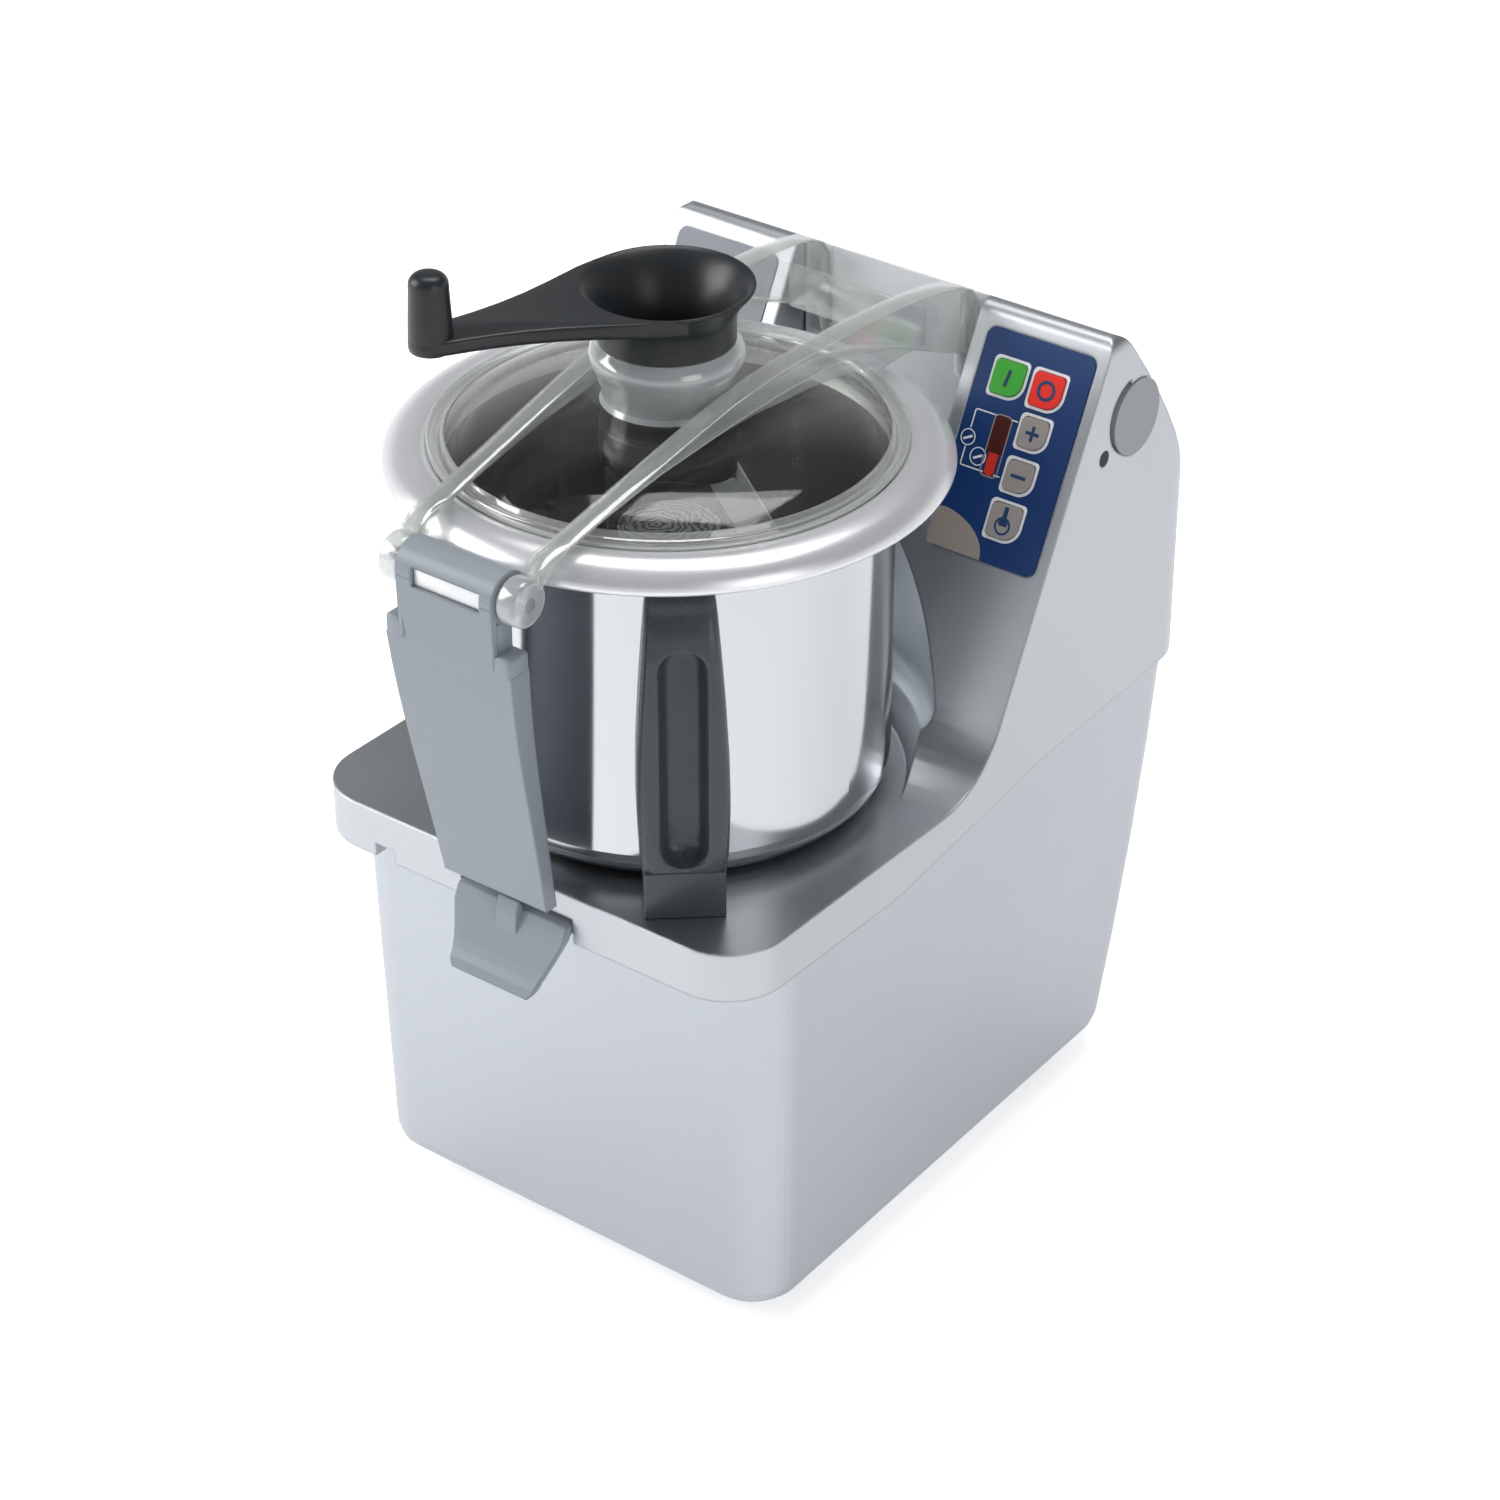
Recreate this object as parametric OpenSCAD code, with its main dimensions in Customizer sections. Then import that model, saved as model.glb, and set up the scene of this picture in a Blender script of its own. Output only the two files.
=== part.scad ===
// Vertical cutter mixer, bench model with a 5.5 litre bowl.
// X is the width, Y runs from the front to the rear and Z is up.
// The origin is the centre of the footprint on the bench.

/* [Housing] */
// Width of the top casting
housing_w = 256; // [236:1:290]
// Depth of the housing from the tray lip to the rear wall
housing_d = 365; // [350:1:400]
// Height of the tray above the underside of the lower body
tray_h = 220; // [200:1:250]
// Height of the front lip of the tray
lip_h = 25; // [20:1:30]
// Radius of the front corners in plan
front_r = 30; // [20:1:38]
// Radius of the rear corners in plan
rear_r = 25; // [15:1:35]
// Wall of the top casting
cast_wall = 5; // [4:0.5:7]
// Wall of the lower body
body_wall = 2.5; // [2:0.5:4]
// How far the lower body stands back under the front lip
body_inset = 22; // [12:1:30]
// How far the lower body stands in from the sides of the casting
body_side = 3; // [1:0.5:6]
// How much the rear wall leans in towards the bottom
rear_lean = 27; // [5:1:40]
// How much each side leans in towards the bottom at the rear
side_lean = 11; // [4:1:16]
// Rounding of the bottom edge
bottom_r = 10; // [5:1:16]
// Height of the rubber feet
foot_h = 12; // [8:1:25]
// Diameter of a foot
foot_d = 32; // [24:1:40]

/* [Tower] */
// Height of the two hinge towers above the bowl rim
tower_over = 16; // [14:0.5:30]
// Slope of the tower faces from the tray
slope_a = 63.1; // [60:0.1:66]
// Distance from the lip to the foot of the slope
slope_foot = 184.7; // [178:0.5:190]
// Radius of the sweep from tray to slope
sweep_r = 50; // [30:1:60]
// Radius of the roll on top of a tower
roll_r = 8; // [5:0.5:11]
// Half width of the gap between the towers
gap_half = 54; // [50:0.5:58]
// Depth of the floor between the towers below the hinge axis
gap_deep = 35; // [30:1:50]
// Distance of the rear wall between the towers behind the hinge axis
gap_back = 35; // [34:0.5:38]
// Depth below the hinge axis at which the gap opens to the rear
gap_step = 10; // [8:0.5:20]
// Clearance between the bowl wall and the hollow in the towers
hollow_gap = 21.5; // [18:0.5:24]
// Fillet at the foot of the hollow
hollow_fillet = 14; // [8:1:20]

/* [Lid hinge] */
// Distance of the hinge axis behind the lip
hinge_y = 303.5; // [300:0.5:306]
// Depth of the hinge axis below the bowl rim
hinge_drop = 30; // [25:0.5:34]
// Diameter of the hinge pin
hinge_d = 14; // [10:0.5:16]
// How far the hinge block reaches in front of the hinge axis
block_front = 15; // [12:0.5:18]
// Clearance beside the hinge block
block_gap = 0.8; // [0.5:0.1:1.5]
// Diameter of the grey end caps
cap_d = 38; // [32:1:42]
// How far an end cap stands out of the tower
cap_proud = 0.5; // [0:0.1:2]
// Diameter of the small plug in front of each cap
plug_d = 8; // [6:0.5:10]
// Distance of the plug in front of the hinge axis
plug_out = 26.5; // [24:0.5:30]
// Distance of the plug below the hinge axis
plug_drop = 11.5; // [8:0.5:14]

/* [Bowl] */
// Distance of the bowl axis behind the lip
bowl_y = 114; // [110:0.5:118]
// Outer radius of the bowl wall
bowl_r = 102.5; // [98:0.5:105]
// Thickness of the bowl sheet
bowl_t = 1.5; // [1:0.1:2]
// Radius of the lower edge of the bowl
bowl_edge = 16; // [10:1:24]
// Width of the rim outside the bowl wall
rim_w = 27; // [24:0.5:28]
// Height of the top of the rim above the tray
rim_h = 177; // [165:0.5:182]
// Height of the rolled rim
rim_t = 13; // [10:0.5:16]
// Outer radius of the bowl chimney
chimney_r = 15; // [13.5:0.5:17]
// Height of the bowl chimney above the tray
chimney_h = 80; // [60:1:90]

/* [Bowl handle] */
// Direction of the handle from the front towards the right
handle_a = 41; // [30:1:50]
// Width of the handle
handle_w = 38.5; // [32:0.5:44]
// Width of the foot of the handle
handle_foot_w = 34.6; // [28:0.2:40]
// How far the handle stands out of the bowl wall
handle_out = 24; // [20:0.5:26]
// Distance of the top of the handle below the rim
handle_under = 10; // [8:0.5:30]
// Depth of the thumb groove in the handle
groove_d = 10; // [5:0.5:14]

/* [Lid] */
// Thickness of the clear lid
lid_t = 3; // [2:0.25:4]
// Rise of the lid from the rim to the neck
lid_rise = 14.5; // [8:0.5:20]
// Outer radius of the neck
neck_r = 35; // [33.5:0.5:38]
// Height of the top of the neck above the bowl rim
neck_h = 46.5; // [44:0.5:56]
// Thickness of a lid arm
rib_t = 11; // [7:0.5:13]
// Wall of a hollow lid arm
rib_wall = 2.5; // [1.5:0.25:3]
// Distance of the lid arms from the middle at the front
rib_front = 33; // [30:0.5:36]
// Turn of each lid arm outwards towards the rear
rib_turn = 1.9; // [0:0.1:2.4]
// Height of the lid arms above the bowl rim at the neck
rib_h = 31.5; // [26:0.5:38]
// Diameter of the front lugs
lug_d = 22; // [18:0.5:24]
// Distance of the lug axis in front of the bowl rim
lug_gap = 12.5; // [12:0.5:18]
// Height of the lug axis below the top of the rim
lug_drop = 12; // [9:0.5:14]

/* [Crank] */
// Radius of the funnel rim
funnel_r = 39.5; // [36:0.5:42]
// Height of the funnel rim above the neck
funnel_h = 26.5; // [20:0.5:30]
// Outer radius of the tube that runs down through the neck
tube_r = 27; // [24:0.5:28.5]
// Radius of the filling hole
fill_r = 20; // [15:0.5:22]
// Length of the crank from the axis to the knob
crank_l = 112.5; // [95:0.5:120]
// Direction of the crank from the right, counter-clockwise
crank_a = 245; // [230:1:260]
// Thickness of the crank arm
arm_t = 7; // [5:0.5:9]
// Height of the knob above the arm
knob_h = 29; // [24:1:40]
// Radius of the foot of the knob
knob_r = 10; // [8:0.5:12]

/* [Cutter] */
// Diameter of the drive shaft
shaft_d = 16; // [12:0.5:18]
// Radius swept by the blades
blade_r = 88; // [80:0.5:89]
// Thickness of a blade
blade_t = 2.2; // [1.5:0.1:3]
// Greatest width of a blade
blade_w = 30; // [20:1:36]
// Radius of the cutter hub at its foot
hub_r = 30; // [27:0.5:32]
// Tilt of the upper blade
blade_tilt = 12; // [6:1:14]
// Number of fine teeth on each blade
tooth_n = 22; // [8:1:30]
// Depth of the fine teeth
tooth_d = 1.2; // [0.5:0.1:2]
// Height of the cutter hub top above the tray
hub_h = 128; // [118:1:136]
// Radius of the cutter hub cap
hub_cap_r = 25; // [23:0.5:28]

/* [Scraper] */
// Depth of the joint between crank and collar below the bowl rim
joint_drop = 8; // [6:0.5:12]
// Depth of the top of the wall scraper below the bowl rim
wiper_drop = 15; // [13:0.5:20]
// Outer radius of the scraper collar
collar_r = 31; // [29:0.5:33]
// Height of the scraper collar
collar_h = 20; // [12:0.5:22]
// Width of the wall scraper
wiper_w = 20; // [14:0.5:26]
// Thickness of the wall scraper
wiper_t = 9; // [6:0.5:11]
// Angle between the wall scraper and the crank
wiper_a = -91; // [-110:1:-70]
// Width of the grey deflector
deflector_w = 16; // [12:0.5:20]
// Length of the grey deflector below the collar
deflector_l = 80; // [50:1:90]
// Direction that the deflector leans to, from the right, counter-clockwise
deflector_a = 37.4; // [0:0.2:90]

/* [Latch] */
// Width of the latch plate below its shoulders
latch_w = 71; // [66:0.5:78]
// Width of the latch plate at its lower end
latch_low_w = 60; // [50:0.5:64]
// Width of the barrel of the latch plate
latch_top_w = 54; // [48:0.5:54]
// Thickness of the latch plate
latch_t = 3; // [2:0.25:4]
// Depth of the side flanges of the latch plate at the shoulders
flange_d = 13; // [10:0.5:16]
// Depth of the side flanges at the lower end
flange_low = 7; // [5:0.5:10]
// Diameter of the latch pin
latch_pin_d = 6; // [4:0.5:8]
// Width of the release tongue where it leaves the lip
tongue_w = 64; // [50:0.5:68]
// Width of the release tongue near its tip
tongue_tip_w = 50; // [40:0.5:58]
// Thickness of the release tongue
tongue_t = 3.2; // [2.5:0.1:4]
// Diameter of the tongue pin
tongue_pin_d = 4; // [3:0.5:5]

/* [Controls] */
// Width of the control label
label_w = 60; // [56:0.5:62]
// Height of the control label
label_h = 106; // [102:0.5:108]
// Distance of the label's upper edge below the roll of the tower
label_drop = 4.5; // [3:0.5:8]
// Thickness of the control label
label_t = 1; // [0.8:0.1:1.6]
// Size of the start, stop and pulse keys
key_w = 16.5; // [13:0.5:18]
// Size of the two speed keys
speed_key_w = 14.5; // [12:0.5:17]
// Travel of a key
key_travel = 0.8; // [0.4:0.1:1.2]
// Radius of the large rounded corner of a key
key_r = 7.5; // [4:0.5:8]

/* [Drive] */
// Diameter of the motor
motor_d = 124; // [100:1:130]
// Length of the motor
motor_l = 140; // [110:1:145]
// Diameter of the cooling fan
fan_d = 100; // [80:1:110]
// Number of fan vanes
fan_n = 9; // [5:1:12]

/* [Fits] */
// Radial clearance of running fits
run_gap = 0.05; // [0.02:0.01:0.1]
// Clearance between parts that sit loosely together
seat_gap = 0.3; // [0.2:0.05:0.5]
// Clearance around the keys
key_gap = 0.25; // [0.15:0.05:0.4]

/* [Hidden] */
$fn = 72;
eps = 0.01;

// Heights measured from the underside of the lower body
seam_z = tray_h - lip_h;
rim_z = tray_h + rim_h;
rim_r = bowl_r + rim_w;
tower_h = rim_z + tower_over;
hinge_z = rim_z - hinge_drop;
gap_floor = hinge_z - gap_deep;
gap_rear = hinge_y + gap_back;
gap_open = hinge_z - gap_step;
lug_out = rim_r - bowl_y + lug_gap;
lid_z = rim_z + 1.5;
neck_z = rim_z + neck_h;
funnel_z = neck_z + funnel_h;
lug_z = rim_z - lug_drop;
hub_z = tray_h + hub_h;
latch_r = lug_d / 2 + 1;
hollow_r = bowl_r + hollow_gap;
half_w = housing_w / 2;
// The lip lies behind the front of the footprint by the reach of the latch
lip_y = -(housing_d + lug_out + latch_r) / 2 + lug_out + latch_r;

function arc(c, r, a0, a1, n = 8) =
    [for (i = [0:n]) c + r * [cos(a0 + (a1 - a0) * i / n), sin(a0 + (a1 - a0) * i / n)]];
function bezier(a, b, c, d, n = 10) =
    [for (i = [0:n]) let (t = i / n, u = 1 - t)
        u * u * u * a + 3 * u * u * t * b + 3 * u * t * t * c + t * t * t * d];
function rounded(x0, x1, y0, y1, rf, rb, n = 8) = concat(
    arc([x1 - rf, y0 + rf], rf, 270, 360, n), arc([x1 - rb, y1 - rb], rb, 0, 90, n),
    arc([x0 + rb, y1 - rb], rb, 90, 180, n), arc([x0 + rf, y0 + rf], rf, 180, 270, n));
// Depth of the tower face at a height
function slope_y(z) = slope_foot + (z - tray_h) / tan(slope_a);

// Places a part that is drawn from the lip and the underside of the body
module housed() { translate([0, lip_y, foot_h]) children(); }
module on_bowl() { translate([0, lip_y + bowl_y, foot_h]) children(); }
// Extrudes a side view, drawn as depth and height, across the width
module side_view(w, x = 0) {
    translate([x, 0, 0]) rotate([90, 0, 90]) linear_extrude(w, center = true) children();
}
module rod_x(d, l, x = 0) { translate([x, 0, 0]) rotate([0, 90, 0]) cylinder(d = d, h = l, center = true); }
module plate(x0, x1, y0, y1, r, h) { linear_extrude(h) polygon(rounded(x0, x1, y0, y1, r, r)); }

/* Housing */
roll_z = tower_h - roll_r;
roll_y = slope_foot + roll_r * sin(slope_a) + (roll_z + roll_r * cos(slope_a) - tray_h) / tan(slope_a);
roll_end = [roll_y, roll_z] + roll_r * [cos(40), sin(40)];
sweep_y = slope_foot - sweep_r * tan(slope_a / 2);
seam_rear = [[housing_d, tray_h], [235, tray_h - 8], [120, seam_z], [0, seam_z]];
function rear_curve(d) = bezier(roll_end + [-d, -d], [roll_end[0] + 30, roll_end[1] - 37] + [-d, -d],
    [housing_d - d, tower_h - 92 - d], [housing_d - d, tower_h - 160 - d]);
function casting_side() = concat([[0, seam_z], [0, tray_h]],
    arc([sweep_y, tray_h + sweep_r], sweep_r, 270, 270 + slope_a),
    arc([roll_y, roll_z], roll_r, 90 + slope_a, 40), rear_curve(0), seam_rear);
function tower_inside(t) = concat(
    [[slope_y(tray_h - 2 * cast_wall) + t / sin(slope_a), tray_h - 2 * cast_wall]],
    [[slope_y(roll_z - t) + t / sin(slope_a), roll_z - t]], rear_curve(t),
    [[housing_d - t, tray_h - 2 * cast_wall]]);

module hollow(r, extra = 0) {
    translate([0, bowl_y, 0]) rotate_extrude($fn = 120) polygon(concat([[0, tray_h - extra]],
        [[r - hollow_fillet, tray_h - extra]],
        arc([r - hollow_fillet, tray_h - extra + 2 * hollow_fillet], hollow_fillet, 300, 360, 4),
        [[r, tower_h + 5], [0, tower_h + 5]]));
}
// Frame of the tower face: X across, Y up the slope, Z out of the face
module on_slope(x, s) {
    translate([x, slope_foot + s * cos(slope_a), tray_h + s * sin(slope_a)]) rotate([slope_a, 0, 0]) children();
}
label_x = (gap_half + half_w) / 2 + 0.5;
label_s = (roll_z + roll_r * cos(slope_a) - tray_h) / sin(slope_a) - label_drop - label_h;
label_mid = label_s + label_h / 2;
bar_in = 8.4;
// Places of the five keys on the label, from its centre
key_rows = [label_h / 2 - 21.5, label_h / 2 - 21.5, label_h / 2 - 42.3, label_h / 2 - 63.3, label_h / 2 - 85];
key_cols = [-12.2, 9.4, 8.8, 8.1, 7.4];
function key_at(i) = [label_x + key_cols[i], label_mid + key_rows[i]];
key_size = [key_w, key_w, speed_key_w, speed_key_w, key_w];
module key_shape(i, grow) {
    w = key_size[i] / 2 + grow;
    r = key_r * key_size[i] / key_w;
    polygon(concat(arc([-w + 3, w - 3], 3, 90, 180, 3), [[-w, -w + 1.5], [-w + 1.5, -w]],
        arc([w - r, -w + r], r, 270, 360), [[w, w - 1.5], [w - 1.5, w]]));
}
module key_holes(depth) {
    for (i = [0:4]) on_slope(key_at(i)[0], key_at(i)[1])
        translate([0, 0, -depth]) linear_extrude(depth + 5) key_shape(i, key_gap);
}
tongue_y = 13;
tongue_z = seam_z + 6;
slot_half = tongue_w / 2 + 1;

module tower_cavity() {
    t = cast_wall;
    difference() {
        intersection() {
            union() {
                for (m = [0, 1]) mirror([m, 0, 0])
                    side_view(half_w - gap_half - 2 * t, (half_w + gap_half) / 2) polygon(tower_inside(t));
                intersection() {
                    side_view(2 * (half_w - t)) polygon(tower_inside(t));
                    translate([-half_w, 0, 0]) cube([housing_w, housing_d, gap_floor - t]);
                }
            }
            plate(-half_w + t, half_w - t, 20, housing_d - t, rear_r - t, tower_h);
        }
        hollow(hollow_r + t, t);
        translate([0, hinge_y, hinge_z]) rod_x(hinge_d + 12, housing_w);
        for (m = [-1, 1]) translate([0, hinge_y, hinge_z]) rod_x(cap_d + 8, 14, m * (half_w - 4));
    }
}
module cap_seat(grow, depth) {
    for (m = [-1, 1]) translate([0, hinge_y, hinge_z]) rod_x(cap_d + 2 * grow, 2 * depth, m * half_w);
}
cap_in = 3.5;
module top_casting() {
    color("lightgray") housed() difference() {
        intersection() {
            side_view(housing_w) polygon(casting_side());
            linear_extrude(tower_h + 1) polygon(rounded(-half_w, half_w, 0, housing_d, front_r, rear_r));
            translate([0, housing_d + 1, 0]) rotate([90, 0, 0]) linear_extrude(housing_d + 2)
                polygon(rounded(-half_w, half_w, 100, tower_h, 3, 7));
        }
        hollow(hollow_r);
        // Gap between the towers
        side_view(2 * gap_half) polygon([[bowl_y, gap_floor], [gap_rear, gap_floor], [gap_rear, gap_open],
            [housing_d + 20, gap_open], [housing_d + 20, tower_h + 60], [bowl_y, tower_h + 60]]);
        // Underside of the tray
        translate([0, 0, seam_z - 50]) linear_extrude(tray_h - cast_wall - seam_z + 50)
            polygon(rounded(-half_w + body_side + body_wall, half_w - body_side - body_wall,
                body_inset + body_wall, housing_d - body_side - body_wall, front_r - 8, rear_r - 5));
        tower_cavity();
        // Drive opening
        translate([0, bowl_y, tray_h - 40]) cylinder(r = shaft_d / 2 + 8, h = 80);
        // Hinge bores, cap seats and plug holes
        translate([0, hinge_y, hinge_z]) rod_x(hinge_d + 2 * run_gap, housing_w + 10);
        cap_seat(seat_gap, cap_in);
        // Finger notch in front of each cap
        for (m = [-1, 1]) intersection() {
            translate([0, hinge_y - 3.5, hinge_z + 2.5]) rod_x(cap_d + 2 * seat_gap, 2 * cap_in, m * half_w);
            translate([m * half_w - cap_in - 1, hinge_y - cap_d, hinge_z - cap_d]) cube([2 * cap_in + 2, cap_d - 5, 2 * cap_d]);
        }
        for (m = [-1, 1]) translate([0, hinge_y - plug_out, hinge_z - plug_drop]) rod_x(plug_d + 2 * run_gap, 20, m * half_w);
        // Recesses for the label and the badge, and the key holes
        for (m = [-1, 1]) on_slope(m * label_x, label_mid)
            translate([0, 0, -label_t / 2]) plate(-label_w / 2 - seat_gap, label_w / 2 + seat_gap,
                -label_h / 2 - seat_gap, label_h / 2 + seat_gap, 5, 10);
        key_holes(3 * cast_wall);
        // Slot and pin holes for the release tongue
        translate([-slot_half, -1, seam_z - 1]) cube([2 * slot_half, body_inset + 1 - 3, 14]);
        translate([0, tongue_y, tongue_z]) rod_x(tongue_pin_d + 2 * run_gap, tongue_w + 22);
        // Moulding relief under the lip
        translate([-half_w + 42, -1, seam_z - 1]) cube([12, 12, 8]);
    }
}

// One level of the lower body: half widths at the front and the rear, and the two ends
function level(z) = let (u = 1 - z / tray_h)
    [half_w - body_side - 4.5 * u, half_w - body_side - side_lean * u,
     body_inset + 4.5 * u, housing_d - body_side - rear_lean * u * (0.35 + 0.65 * u)];
module body_level(z, inset, r) {
    l = level(max(z, 0));
    for (m = [-1, 1]) {
        translate([m * (l[0] - inset - r), l[2] + inset + r, z]) cylinder(r = r, h = eps, $fn = 40);
        translate([m * (l[1] - inset - r), l[3] - inset - r, z]) cylinder(r = r, h = eps, $fn = 40);
    }
}
module body_form() {
    hull() {
        for (i = [0:3]) body_level(bottom_r * (1 - cos(i * 30)), bottom_r * (1 - sin(i * 30)),
            rear_r - bottom_r * (1 - sin(i * 30)) * 0.8);
        for (f = [0.25, 0.5, 0.75, 1.05]) body_level(tray_h * f, 0, rear_r);
    }
}
// Space inside the lower body, in tiers that follow the lean of the walls
module body_inside() {
    t = body_wall;
    n = 5;
    for (i = [0:n]) {
        z = i == 0 ? t + 1 : tray_h * i / (n + 1);
        l = level(i == 0 ? 0 : z);
        translate([0, 0, z]) plate(-l[1] + t, l[1] - t, l[2] + t, l[3] - t, rear_r + 2, tray_h * (i + 1) / (n + 1) - z + (i == n ? 20 : 0.5));
    }
}
module under_seam() {
    side_view(housing_w + 20) polygon(concat([[-20, -20], [-20, seam_z]],
        [for (i = [3:-1:0]) seam_rear[i]], [[housing_d + 20, tray_h], [housing_d + 20, -20]]));
}
base_x = 88;
base_y0 = 58;
base_y1 = 290;
foot_at = [[-82, 64], [82, 64], [-82, 284], [82, 284]];
gland_z = 52;
module lower_body() {
    color("silver") housed() difference() {
        intersection() {
            body_form();
            under_seam();
        }
        body_inside();
        translate([0, 0, -1]) plate(-base_x + 22, base_x - 22, base_y0 + 22, base_y1 - 22, 10, 20);
        for (p = foot_at) translate([p[0], p[1], -1]) cylinder(d = 6.2, h = 20);
        translate([0, housing_d - 75, gland_z]) rotate([-90, 0, 0]) cylinder(d = 16.2, h = 80);
    }
}
module base_plate() {
    color("gainsboro") housed() translate([0, 0, -1.5]) difference() {
        plate(-base_x - 12, base_x + 12, base_y0 - 12, base_y1 + 12, 14, 1.5);
        for (p = foot_at) translate([p[0], p[1], -1]) cylinder(d = 6.2, h = 5);
        // Air slots below the fan
        for (i = [-3:3], m = [-1, 1]) translate([m * 17, bowl_y + 12 * i, -1]) {
            translate([-10, -2, 0]) cube([20, 4, 5]);
            for (e = [-10, 10]) translate([e, 0, 0]) cylinder(r = 2, h = 5);
        }
    }
}
module feet() {
    color("dimgray") housed() for (p = foot_at) translate([p[0], p[1], -foot_h]) rotate_extrude()
        polygon([[5, 0], [foot_d / 2 - 3, 0], [foot_d / 2 - 1, 2], [foot_d / 2, foot_h - 3], [foot_d / 2 - 1, foot_h - 1.5],
            [3.1, foot_h - 1.5], [3.1, foot_h - 4.5], [5, foot_h - 4.5]]);
}
module foot_screws() {
    color("silver") housed() for (p = foot_at) translate([p[0], p[1], -4.5]) {
        translate([0, 0, -3]) cylinder(d = 9, h = 3);
        cylinder(d = 6, h = 14);
    }
}

/* Drive */
motor_top = tray_h - cast_wall;
motor_low = motor_top - motor_l;
module motor_housing() {
    color("dimgray") housed() translate([0, bowl_y, 0]) difference() {
        union() {
            translate([0, 0, motor_low]) cylinder(d = motor_d - 24, h = motor_l - 10);
            translate([0, 0, motor_low + 18]) cylinder(d = motor_d, h = motor_l - 46);
            translate([0, 0, motor_top - 10]) cylinder(d = motor_d, h = 10);
        }
        translate([0, 0, motor_low + 12]) cylinder(d = motor_d * 0.58, h = motor_l - 24);
        translate([0, 0, motor_low - 1]) cylinder(d = shaft_d + 2 * run_gap, h = motor_l + 2);
        for (a = [45:90:315]) rotate(a) translate([motor_d / 2 - 6, 0, motor_top - 30]) cylinder(d = 5 + 2 * run_gap, h = 40);
        for (a = [0:15:345]) rotate(a) translate([motor_d / 2, 0, motor_low + 40]) cube([6, 4, motor_l - 92]);
    }
}
module motor_screws() {
    color("silver") housed() translate([0, bowl_y, motor_top - 10]) for (a = [45:90:315]) rotate(a)
        translate([motor_d / 2 - 6, 0, 0]) {
            translate([0, 0, -4]) cylinder(d = 8, h = 4);
            cylinder(d = 5, h = 10);
        }
}
module shaft_seal() {
    color("dimgray") on_bowl() translate([0, 0, tray_h - cast_wall]) difference() {
        union() {
            cylinder(r = shaft_d / 2 + 8 - run_gap, h = cast_wall + 3);
            translate([0, 0, cast_wall]) cylinder(r = shaft_d / 2 + 12, h = 4);
        }
        translate([0, 0, -1]) cylinder(r = shaft_d / 2 + run_gap, h = cast_wall + 10);
    }
}
module drive_shaft() {
    color("silver") on_bowl() translate([0, 0, motor_low - 30]) cylinder(d = shaft_d, h = tray_h + chimney_h + 22 - motor_low + 30);
}
module motor_armature() {
    color("peru") on_bowl() translate([0, 0, motor_low + 22]) difference() {
        cylinder(d = motor_d * 0.56, h = motor_l - 44);
        translate([0, 0, -1]) cylinder(d = shaft_d + 2 * run_gap, h = motor_l);
    }
}
module cooling_fan() {
    color("dimgray") on_bowl() translate([0, 0, motor_low - 26]) difference() {
        union() {
            cylinder(d = fan_d, h = 2);
            cylinder(d = shaft_d + 10, h = 20);
            for (i = [0:fan_n - 1]) rotate(i * 360 / fan_n) translate([shaft_d / 2 + 3, -1, 0])
                cube([fan_d / 2 - shaft_d / 2 - 4, 2, 18]);
        }
        translate([0, 0, -1]) cylinder(d = shaft_d + 2 * run_gap, h = 40);
    }
}

/* Lid hinge on the housing */
module hinge_pin() {
    color("silver") housed() translate([0, hinge_y, hinge_z]) rod_x(hinge_d, housing_w - 2 * cap_in);
}
module hinge_caps() {
    color("darkgray") housed() for (m = [-1, 1]) translate([0, hinge_y, hinge_z])
        rod_x(cap_d, cap_in + cap_proud, m * (half_w - cap_in / 2 + cap_proud / 2));
}
// Block between the towers that carries the lid and turns on the hinge pin
module hinge_block() {
    block_r = min(gap_rear - hinge_y, hinge_z - gap_floor) - 1.2;
    color("darkgray") housed() difference() {
        side_view(2 * (gap_half - block_gap)) intersection() {
            polygon(casting_side());
            translate([hinge_y - block_front, 0]) square([100, tower_h + 10]);
            union() {
                translate([hinge_y, hinge_z]) circle(r = block_r);
                translate([hinge_y - block_front - 5, hinge_z + 4]) square([60, 100]);
            }
        }
        translate([0, hinge_y, hinge_z]) rod_x(hinge_d + 2 * run_gap, 200);
        // Mortises for the arms of the lid
        on_rib() translate([-rib_t / 2 - seat_gap, arm_end - 2, hinge_z + 6 - seat_gap])
                cube([rib_t + 2 * seat_gap, tenon + 2 + seat_gap, 20 + 2 * seat_gap]);
    }
}
module side_plugs() {
    color("dimgray") housed() for (m = [-1, 1]) translate([0, hinge_y - plug_out, hinge_z - plug_drop])
        rod_x(plug_d, cast_wall, m * (half_w - cast_wall / 2));
}

/* Controls */
board_z = -14;
board_w = half_w - gap_half - 2 * cast_wall - 6;
module control_board() {
    color("seagreen") housed() on_slope(label_x, label_mid) difference() {
        union() {
            translate([0, 0, board_z - 1.6]) plate(-board_w / 2, board_w / 2, -label_h / 2 + 3, label_h / 2 - 12, 2, 1.6);
            for (x = [-1, 1]) translate([x * (board_w / 2 - 4), -label_h / 2 + 8, board_z]) cylinder(d = 6, h = -board_z - cast_wall);
        }
        for (i = [0:4]) translate([key_cols[i], key_rows[i], board_z - 4]) cylinder(d = 3, h = 3.5);
    }
}
module key_switches() {
    color("black") housed() for (i = [0:4]) on_slope(key_at(i)[0], key_at(i)[1])
        translate([0, 0, board_z]) cylinder(d = 6, h = -board_z - 3 - key_travel - seat_gap);
}
module interlock_switch() {
    color("black") housed() translate([gap_half + cast_wall, hinge_y - 18, hinge_z - 50]) cube([12, 20, 28]);
}
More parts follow.
